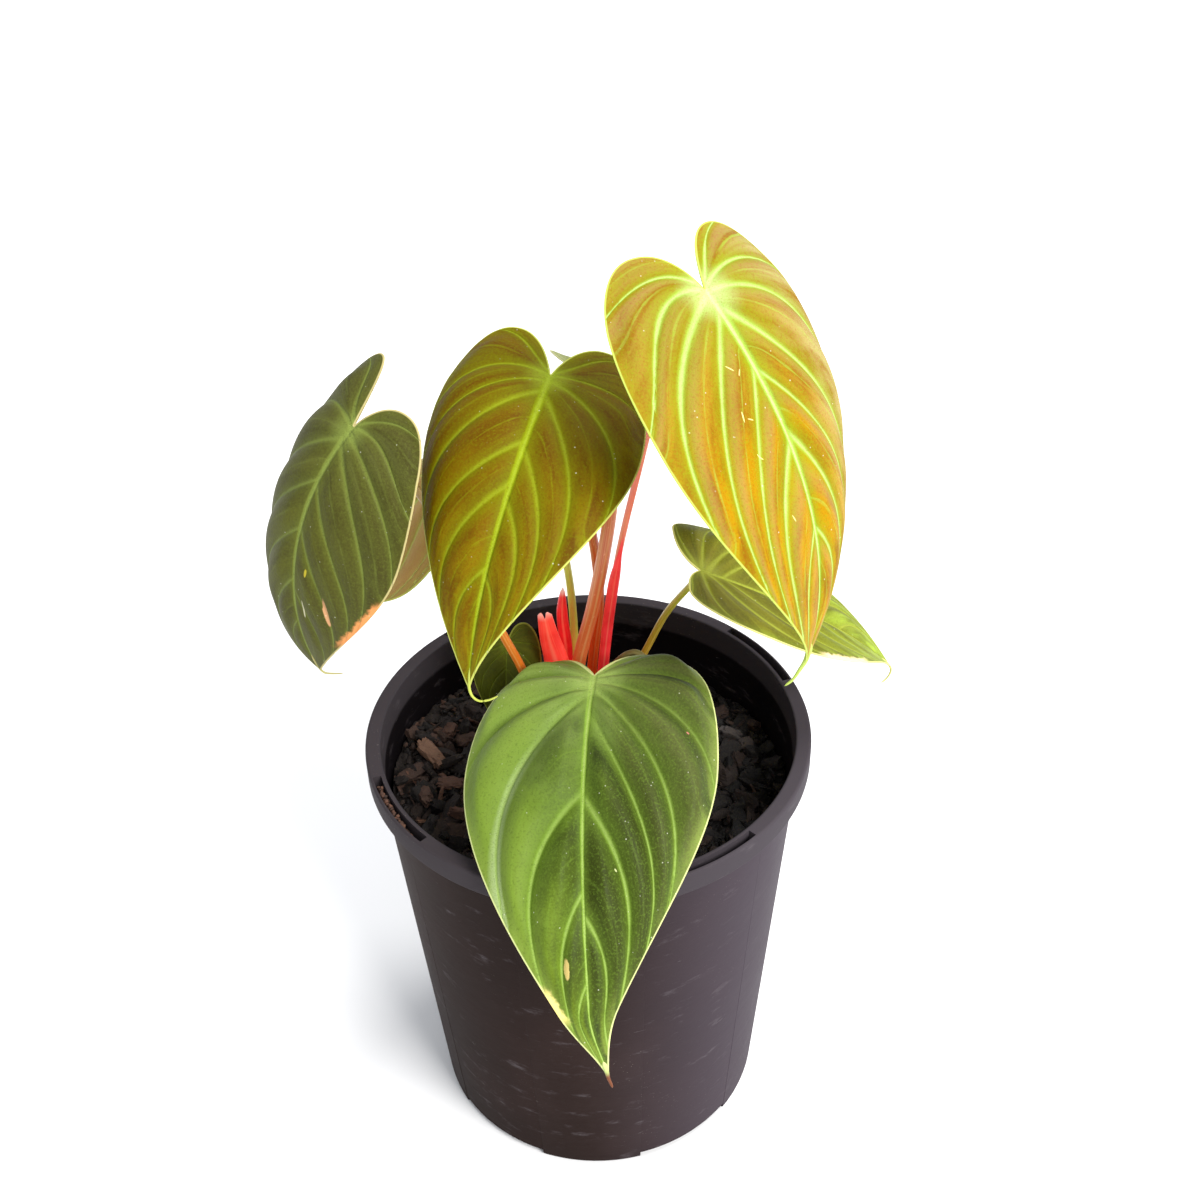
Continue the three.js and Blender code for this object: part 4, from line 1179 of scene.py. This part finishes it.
def add_root():
    """A slim arch from the crown down into the bark, with small rings along it."""
    line = curve_through(ROOT_PATH, 110)
    share = np.linspace(0, 1, len(line))
    rings = 0.05 * np.sin(share * 90) + 0.05 * value_noise(share * 30, 0 * share, 3)
    radius = mix(1.05, 0.75, share) * (1 + rings)
    part = tube(line, radius, sides=14, sideways=(0, 1, 0))
    finish = Finish("aerial_root", 0.6)
    along, around, length = finish.attribute("along")
    mottled = finish.noise(1.0, 4.0, vector=finish.join(around * 5.0, length * 0.35, 0.0))
    color = finish.blend(mottled.band(0.3, 0.7), tint(112, 104, 52), tint(150, 140, 82))
    color = finish.blend(along.band(0.75, 1.0), color, tint(90, 66, 44))
    material = finish.paint(color, 0.5 + mottled * 0.2, mottled * 0.3)
    add_piece("aerial_root_arch", part, [material], ["aerial_root"])


# Middle, radii and height of the crown in mm.
CROWN = {"x": -2, "y": 16.5, "radius_x": 14.5, "radius_y": 11, "bottom": 112, "top": 137}


def add_crown():
    """A knobbly stump: an oval whose radius swells in lumps, with a domed, scarred top."""
    rows, columns = 60, 120
    angle = full_turn(columns)[None]
    share = np.linspace(0, 1, rows)[:, None]
    bottom, top = CROWN["bottom"], CROWN["top"]
    height = np.interp(share, (0, 0.02, 0.6, 1), (bottom, bottom, top - 3, top))
    size = np.interp(share, (0, 0.02, 0.6, 0.75, 1), (0, 0.95, 0.93, 0.78, 0))
    from_front = np.minimum(angle, 2 * math.pi - angle) + 0 * share
    lumps = value_noise(from_front * 8 / math.pi, height * 0.35, 4)
    size = size * (1 + 0.05 * lumps * (share > 0.02) * (share < 1))
    points = together(
        CROWN["x"] + CROWN["radius_x"] * size * np.cos(angle),
        CROWN["y"] + CROWN["radius_y"] * size * np.sin(angle),
        height + 0.5 * lumps * (share > 0.6) * (share < 1))
    part = (points.reshape(-1, 3), grid_quads(rows, columns, closed=True), {})
    finish = Finish("crown", 0.65)
    rings = finish.noise(60.0, 4.0, vector=finish.stretched(1, 1, 6))
    grain = finish.noise(300.0, 4.0)
    color = finish.ramp(rings, [(0.3, tint(70, 46, 30)), (0.5, tint(150, 88, 50)), (0.7, tint(196, 130, 84))])
    color = finish.blend(grain.band(0.5, 0.7) * 0.6, color, tint(80, 60, 44))
    material = finish.paint(color, 0.55 + grain * 0.25, rings * 0.8 + grain * 0.3)
    add_piece("crown_stump", part, [material], ["crown"])


# Soil and bark

# In mm: height of the soil's top at the axis, its fall to the right and the back for each mm, its waves,
# the heights of its floor and of a ring up its side, and how far below the top its edge has its radius.
SOIL = {"level": 130, "slope": 0.05, "roughness": 1.1, "floor": 4.9, "waist": 60, "edge_below": 6}

# Heights, radii and thicknesses of the pot in mm; the profile in pot_wall says where each one is.
POT = {"height": 150, "rim": 70, "mouth": 65.2, "skirt": 7.8, "wall": 1.2, "foot": 55.6, "foot_width": 5,
       "foot_height": 2.6, "floor": 2, "pad": 9}


def soil_height(x, y):
    """Heaped at the front left, with low ripples."""
    ripple = np.sin(x * 0.31 + 1.3) * np.cos(y * 0.27) + 0.6 * np.sin(x * 0.13 - y * 0.19)
    return SOIL["level"] - SOIL["slope"] * (x + y) + SOIL["roughness"] * ripple


def inner_wall(z):
    """Inner radius of the pot at a height."""
    low = POT["foot_height"] + POT["floor"]
    share = (z - low) / (POT["height"] - 0.6 - low)
    return mix(POT["foot"] - POT["wall"], POT["mouth"], share)


def soil_bed():
    """A plug that fills the pot, its top broken up by two sizes of noise."""
    rows, columns = 130, 360
    angle = full_turn(columns)
    radius = np.linspace(0, 1, rows)[:, None]
    edge = inner_wall(SOIL["level"] - SOIL["edge_below"]) - GAP
    x = radius * edge * np.cos(angle)
    y = radius * edge * np.sin(angle)
    rough = 0.9 * value_noise(x * 0.45, y * 0.45, 1) + 0.5 * value_noise(x * 1.1, y * 1.1, 2)
    top = np.stack([x, y, soil_height(x, y) - 0.8 + rough], -1)[::-1]
    rings = ((SOIL["floor"], 0.0), (SOIL["floor"], 1.0), (SOIL["waist"], 1.0))
    sides = [polar((inner_wall(z) - GAP) * size, angle, float(z)) for z, size in rings]
    points = np.concatenate([np.array(sides), top])
    count = len(points)
    kind = np.zeros((count * columns, 3))
    kind[:, 0] = 0.2
    return points.reshape(-1, 3), grid_quads(count, columns, closed=True), {"chip": kind}


def sphere_points(rings, sides):
    """Rows of points on a unit sphere, from pole to pole."""
    tilt = np.linspace(0, math.pi, rings)[:, None]
    return polar(np.sin(tilt), full_turn(sides)[None], np.cos(tilt))


def bark_chips(draw, places, lengths, kinds, rings=5, sides=7, slimness=(0.4, 0.8), flatness=(0.22, 0.5),
               tilt=0.6):
    """Angular chips: boxy balls with shaken corners, stretched, tilted and laid at the given places."""
    count = len(places)
    ball = sphere_points(rings, sides)
    boxy = np.sign(ball) * np.abs(ball) ** 0.62
    shaken = boxy[None] * (1 + draw.uniform(-0.22, 0.22, (count, rings, sides, 1)))
    shaken[:, 0] = shaken[:, 0, :1]
    shaken[:, -1] = shaken[:, -1, :1]
    size = lengths[:, None] * np.stack([
        np.ones(count), draw.uniform(*slimness, count), draw.uniform(*flatness, count)], 1)
    shaken = shaken[..., [2, 0, 1]] * size[:, None, None]
    tilts = draw.normal(0, tilt, (2, count))
    angles = np.concatenate([tilts, draw.uniform(0, 2 * math.pi, (1, count))])
    (cx, cy, cz), (sx, sy, sz) = np.cos(angles), np.sin(angles)
    turn = np.array([
        [cz * cy, cz * sy * sx - sz * cx, cz * sy * cx + sz * sx],
        [sz * cy, sz * sy * sx + cz * cx, sz * sy * cx - cz * sx],
        [-sy, cy * sx, cy * cx]]).transpose(2, 0, 1)
    points = np.einsum("nij,nrsj->nrsi", turn, shaken) + places[:, None, None]
    quads = grid_quads(rings, sides, closed=True)
    faces = quads[None] + (np.arange(count) * rings * sides)[:, None, None]
    chip = np.zeros((count, rings * sides, 3))
    chip[..., 0] = kinds[:, None]
    chip[..., 1] = draw.uniform(0, 1, count)[:, None]
    return points.reshape(-1, 3), faces.reshape(-1, 4), {"chip": chip.reshape(-1, 3)}


def keep_clear(x, y, margin):
    """True outside the crown's oval, made larger by a margin or smaller by a negative one."""
    across = (x - CROWN["x"]) / (CROWN["radius_x"] + margin)
    deep = (y - CROWN["y"]) / (CROWN["radius_y"] + margin)
    return across ** 2 + deep ** 2 > 1


def scattered_chips(draw, count, sizes, lift, kind_range, **shape):
    """Chips at random over the soil, inside the pot's wall and off the crown."""
    lengths = mix(sizes[0], sizes[1], draw.uniform(0, 1, count) ** 2.2)
    radius = np.sqrt(draw.uniform(0, 1, count)) * (inner_wall(SOIL["level"]) - lengths * 0.9 - 0.6)
    angle = draw.uniform(0, 2 * math.pi, count)
    x, y = radius * np.cos(angle), radius * np.sin(angle)
    kept = keep_clear(x, y, -1.5)
    x, y, lengths = x[kept], y[kept], lengths[kept]
    places = np.stack([x, y, soil_height(x, y) + lift * lengths + draw.uniform(-0.8, 0.6, len(x))], 1)
    kinds = draw.uniform(*kind_range, len(x))
    return bark_chips(draw, places, lengths, kinds, **shape)


# Pieces that catch the eye: x, y, height over the soil, half length, turn in degrees and colour number.
SPECIAL_CHIPS = (
    (-51, 7, 3.0, 5.6, 100, 0.8), (-44, -8, 2.5, 4.0, 40, 0.6), (-52, -14, 2.5, 4.6, 120, 0.5),
    (-40, -22, 2.0, 4.0, 20, 0.62), (47, 18, 1.5, 3.8, 60, 0.92), (52, 12, 1.5, 3.0, 10, 0.9),
    (55, 24, 1.0, 3.2, 80, 0.7), (49, 4, 1.5, 4.0, 140, 0.55), (44, 30, 1.2, 3.4, 30, 0.66),
    (-30, -36, 2.0, 5.5, 75, 0.48), (-22, -44, 1.5, 5.0, 10, 0.42), (-46, 20, 1.5, 4.5, 150, 0.56),
)


def special_chips(draw):
    """The larger pieces that catch the eye, each at its own place."""
    table = np.array(SPECIAL_CHIPS)
    places = np.stack([table[:, 0], table[:, 1], soil_height(table[:, 0], table[:, 1]) + table[:, 2]], 1)
    return bark_chips(draw, places, table[:, 3], table[:, 5], rings=13, sides=18, tilt=0.25)


def soil_finish(name):
    """Dark bark: each chip has its own tone, with grain and pale broken faces, and painted shade darkens it
    at the right.
    """
    finish = Finish(name, 0.8, specular=0.35)
    kind, luck, _ = finish.attribute("chip")
    grain = finish.noise(420.0, 5.0, vector=finish.stretched(1, 1, 2.5))
    patches = finish.noise(90.0, 3.0)
    color = finish.ramp(kind + grain * 0.12 - 0.06, [
        (0.0, tint(16, 12, 12)), (0.35, tint(38, 29, 25)), (0.5, tint(68, 48, 39)), (0.7, tint(92, 62, 48)),
        (0.85, tint(120, 92, 74)), (0.95, tint(100, 98, 100))])
    # Painted shade: the soil at the right is darkened, as in the shadow of the pot's wall.
    right_shade = finish.split(finish.position())[0].band(0.005, 0.045)
    color = finish.layers(
        color,
        (grain.band(0.6, 0.8) * 0.3, tint(104, 88, 78)),
        ((patches + luck * 0.3).band(0.75, 1.0) * 0.35, tint(14, 11, 11)),
        (right_shade * 0.75, tint(9, 7, 7)))
    return finish.paint(color, 0.62 + grain * 0.3, grain * 0.9)


# Bark scattered over the soil: how many tries, shortest and longest half length in mm, height over the
# soil as a share of it, range of colour numbers, and shape.
FINES = dict(count=2200, sizes=(0.6, 2.2), lift=0.15, kind_range=(0.0, 0.6), rings=4, sides=6)
CHIPS = dict(count=900, sizes=(1.6, 6.0), lift=0.12, kind_range=(0.0, 0.5), rings=7, sides=10)
SLIVERS = dict(count=260, sizes=(2.5, 6.5), lift=0.25, kind_range=(0.2, 0.8), rings=6, sides=6,
               slimness=(0.12, 0.25), flatness=(0.08, 0.2))


def add_soil():
    """The bed with fine crumbs as one piece, and the loose bark over it as another."""
    draw = np.random.default_rng(12)
    material = soil_finish("bark_mix")
    bed = soil_bed()
    fines = scattered_chips(draw, **FINES)
    add_piece("soil_bed", join_parts([bed, fines]), [material], ["soil"])
    chips = scattered_chips(draw, **CHIPS)
    slivers = scattered_chips(draw, **SLIVERS)
    add_piece("soil_chips", join_parts([chips, slivers, special_chips(draw)]), [material], sharp=35)


# Slots of the rim and the crumbs in one of them, in degrees and mm.
SLOTS = {"count": 4, "first": 30, "arc": 27, "inner": 66.5, "outer": 69.1, "depth": 6}
CRUMBS = {"slot": 2, "count": 150, "start": -12.5, "end": 8}


def add_rim_crumbs():
    """Crumbs of bark heaped in one slot of the rim, lower towards its front end."""
    draw = np.random.default_rng(4)
    count = CRUMBS["count"]
    middle = SLOTS["first"] + 360 / SLOTS["count"] * CRUMBS["slot"]
    share = draw.uniform(0, 1, count)
    angle = np.radians(middle + mix(CRUMBS["start"], CRUMBS["end"], share))
    radius = draw.uniform(SLOTS["inner"] + 0.8, SLOTS["outer"] - 0.8, count)
    heap = mix(4.6, 2.5, smooth(0.6, 1, share))
    height = POT["height"] - SLOTS["depth"] + 0.5 + draw.uniform(0, 1, count) * heap
    places = polar(radius, angle, height)
    part = bark_chips(draw, places, draw.uniform(0.5, 0.85, count), draw.uniform(0.4, 0.75, count),
                      slimness=(0.6, 0.95), flatness=(0.5, 0.8))
    add_piece("rim_crumbs_heap", part, [soil_finish("rim_bark")], ["rim_crumbs"])


# Pot

# Notches between the feet, and drain holes with the part of the floor round them, in degrees and mm.
FEET = {"count": 5, "first": -94.5, "notch": 37}
DRAINS = {"count": 8, "ring": 41, "radius": 4, "inner": 33, "outer": 49}


def round_corner(before, corner, after, radius, steps=5):
    """Points of a small curve that replaces a corner of the profile."""
    corner = np.array(corner, float)
    start = corner + unit(np.array(before, float) - corner) * radius
    end = corner + unit(np.array(after, float) - corner) * radius
    t = np.linspace(0, 1, steps)[:, None]
    return (1 - t) ** 2 * start + 2 * (1 - t) * t * corner + t ** 2 * end


def rounded_profile(corners):
    """A closed profile of (radius, height, rounding) with every corner rounded by its own size."""
    points = []
    for i, (r, z, rounding) in enumerate(corners):
        before = corners[i - 1][:2]
        after = corners[(i + 1) % len(corners)][:2]
        if rounding:
            points.extend(round_corner(before, (r, z), after, rounding))
        else:
            points.append(np.array([r, z], float))
    return np.array(points)


def near_arc(angle, first, count, arc):
    """True where an angle in degrees lies within half an arc of any of the evenly spaced middles."""
    step = 360 / count
    offset = (angle - first + step / 2) % step - step / 2
    return np.abs(offset) < arc / 2


def pot_columns(patterns, count=720):
    """Angles in degrees round the pot, with a close pair at both ends of every slot and notch."""
    columns = np.linspace(0, 360, count, endpoint=False)
    edges = []
    for first, number, arc in patterns:
        middles = first + 360 / number * np.arange(number)
        for edge in (-arc / 2, arc / 2):
            edges.extend([*(middles + edge - 0.03), *(middles + edge + 0.03)])
    edges = np.array(edges) % 360
    far = np.abs((columns[:, None] - edges[None] + 180) % 360 - 180).min(1) > 0.12
    return np.sort(np.concatenate([columns[far], edges]))


def pot_wall():
    """Wall, rim and foot ring in one closed profile turned round the axis.

    The slots push the rim's top down between two radii, and the notches lift the foot ring. Both
    start and end between two columns of points that lie close together, so their ends are upright.
    """
    top, ledge = POT["height"], POT["height"] - POT["skirt"]
    floor_top = POT["foot_height"] + POT["floor"]
    ring = POT["foot"] - POT["foot_width"]
    wall_foot = POT["foot"] - POT["wall"]
    corners = [
        (ring, floor_top - 1, 0), (ring + 0.4, 0, 0.5), (POT["foot"], 0, 1.2),
        (POT["mouth"] + POT["wall"], ledge, 0.6), (POT["rim"], ledge, 0.7), (POT["rim"], top, 0.9),
        (SLOTS["outer"], top, 0), (SLOTS["outer"] - 0.05, top, 0), (SLOTS["inner"] + 0.05, top, 0),
        (SLOTS["inner"], top, 0), (POT["mouth"], top, 0.45), (wall_foot, floor_top - 1, 0)]
    profile = rounded_profile(corners)
    slots = (SLOTS["first"], SLOTS["count"], SLOTS["arc"])
    notches = (FEET["first"] + 180 / FEET["count"], FEET["count"], FEET["notch"])
    columns = pot_columns((slots, notches))
    shape = (len(profile), len(columns))
    radius, height = (np.broadcast_to(profile[:, k, None], shape) for k in (0, 1))
    in_slot = near_arc(columns, *slots)[None]
    groove = (radius > SLOTS["inner"] + 0.01) & (radius < SLOTS["outer"] - 0.01) & (height > top - 0.01)
    height = np.where(groove & in_slot, top - SLOTS["depth"], height)
    notched = near_arc(columns, *notches)[None]
    low = height < POT["foot_height"]
    height = np.where(low & notched, POT["foot_height"] + height * 0.1, height)
    points = polar(radius, np.radians(columns), height)
    points = np.concatenate([points, points[:1]])
    return points.reshape(-1, 3), grid_quads(*points.shape[:2], closed=True), {}


def drain_patch(number, z, per_side=16):
    """One sector of the floor round a hole: points between the hole's circle and the sector's border."""
    span = 360 / DRAINS["count"]
    middle = number * span
    along = np.linspace(-1, 1, per_side + 1)[:-1]
    radial = np.linspace(0, 1, 7)[:-1]
    outer = [(DRAINS["outer"], middle + span / 2 * a) for a in along]
    down = [(mix(DRAINS["outer"], DRAINS["inner"], r), middle + span / 2) for r in radial]
    inner = [(DRAINS["inner"], middle - span / 2 * a) for a in along]
    up = [(mix(DRAINS["inner"], DRAINS["outer"], r), middle - span / 2) for r in radial]
    radius, angle = np.array(outer + down + inner + up).T
    border = polar(radius, np.radians(angle), float(z))
    centre = polar(DRAINS["ring"], math.radians(middle), float(z))
    circle = centre + DRAINS["radius"] * unit(border - centre)
    share = np.linspace(0, 1, 6)[:, None, None]
    return mix(circle[None], border[None], share ** 1.3)


def pot_floor():
    """Floor plate with its drain holes and the pad under its middle; it meets the wall all round."""
    low, high = POT["foot_height"], POT["foot_height"] + POT["floor"]
    sides = 128
    reach = POT["foot"] - POT["wall"] + 0.2
    angle = full_turn(sides) - math.pi / DRAINS["count"]

    def disc(rings):
        """Rings of points from pairs of radius and height, joined by quads."""
        radius, height = (np.array(column, float)[:, None] for column in zip(*rings))
        points = polar(radius, angle, height)
        return points.reshape(-1, 3), grid_quads(len(rings), sides, closed=True), {}

    parts = [
        disc([(0, 0), (POT["pad"], 0), (POT["pad"] + 0.4, low), (DRAINS["inner"], low)]),
        disc([(DRAINS["inner"], high), (0, high)]),
        disc([(DRAINS["outer"], low), (reach, low), (reach, high), (DRAINS["outer"], high)])]
    for number in range(DRAINS["count"]):
        upper = drain_patch(number, high)
        lower = drain_patch(number, low)
        for patch in (upper, lower, np.stack([upper[0], lower[0]])):
            parts.append((patch.reshape(-1, 3), grid_quads(*patch.shape[:2], closed=True), {}))
    return join_parts(parts)


def pot_finish():
    """Black moulded plastic: satin, scuffed and scratched; its brownish tint is partly a painted reflection,
    and it has a painted bluish reflection at the right, painted shade inside and a painted highlight on the
    rim.

    The masks for the right side, the inside and the rim are bands of the position in metres.
    """
    finish = Finish("pot_plastic", 0.5, specular=0.035)
    across, deep, height = finish.split(finish.position())
    slope = (POT["mouth"] + POT["wall"] - POT["foot"]) / POT["height"]
    from_wall = finish.math("SQRT", across ** 2 + deep ** 2) - (height * slope + POT["foot"] * MM)
    cloud = finish.noise(26.0, 5.0)
    scuffs = finish.noise(70.0, 5.0, 0.7, vector=finish.stretched(1, 1, 3))
    scratches = finish.noise(1.0, 4.0, 0.7, 1.5, vector=finish.stretched(60, 60, 900)).band(0.68, 0.74)
    specks = finish.cells(700.0).band(0.14, 0.07) * cloud.band(0.5, 0.7)
    color = finish.layers(
        # The warm brown of both base tones is partly a painted reflection of a brown surface beside the pot.
        finish.blend(cloud.band(0.3, 0.8), tint(32, 20, 17), tint(44, 32, 30)),
        # Painted reflection: bluish grey over the right side.
        (across.band(-0.01, 0.06) * 0.8, tint(68, 61, 70)),
        # Painted shade: darker inside the wall.
        (from_wall.band(-0.0004, -0.0009), tint(17, 14, 16)),
        # Painted highlight: a lighter band along the top of the rim, where it faces the sky.
        (height.band(0.141, 0.1425) * 0.7, tint(64, 60, 64)),
        (scuffs.band(0.56, 0.78) * 0.4, tint(104, 98, 102)),
        (scratches * 0.25, tint(140, 134, 136)),
        (specks * 0.3, tint(150, 142, 134)))
    relief = cloud * 0.25 + scuffs * 0.08 - scratches * 0.05
    return finish.paint(color, 0.42 + cloud * 0.2 + scuffs * 0.1, relief)


def add_pot():
    """Wall, rim, feet and floor as one piece."""
    part = join_parts([pot_wall(), pot_floor()])
    add_piece("nursery_pot", part, [pot_finish()], ["pot"], sharp=38)


# Floor under the pot

def add_floor():
    """A large pale square that only the renders use."""
    half = FLOOR_SIZE / 2 * MM
    mesh = bpy.data.meshes.new("pale_floor")
    corners = [(-half, -half, 0), (half, -half, 0), (half, half, 0), (-half, half, 0)]
    mesh.from_pydata(corners, [], [(0, 1, 2, 3)])
    finish = Finish("pale_floor", 0.6, specular=0.2)
    soft = finish.noise(3.0, 2.0)
    color = finish.blend(soft, (0.80, 0.80, 0.81, 1), (0.84, 0.84, 0.85, 1))
    mesh.materials.append(finish.paint(color))
    new_object("pale_floor", mesh)


# Assembly

add_camera()
add_lights()
bpy.context.scene.view_settings.view_transform = "Standard"
bpy.context.scene.view_settings.exposure = EXPOSURE
add_floor()

# Rows along the outline and columns from the midrib to the margin of each half.
GRID_SIZES = {"gold": (170, 46), "olive": (160, 44), "left": (150, 42), "front": (190, 50),
              "right": (140, 40), "back_left": (110, 32), "low": (80, 24), "back": (110, 32)}
for leaf_name, (grid_rows, grid_columns) in GRID_SIZES.items():
    add_leaf(leaf_name, grid_rows, grid_columns)
for leaf_name in PETIOLES:
    add_petiole(leaf_name)
for sheath_name in SHEATHS:
    add_sheath(sheath_name)
add_clasp()
add_root()
add_crown()
add_soil()
add_rim_crumbs()
add_pot()
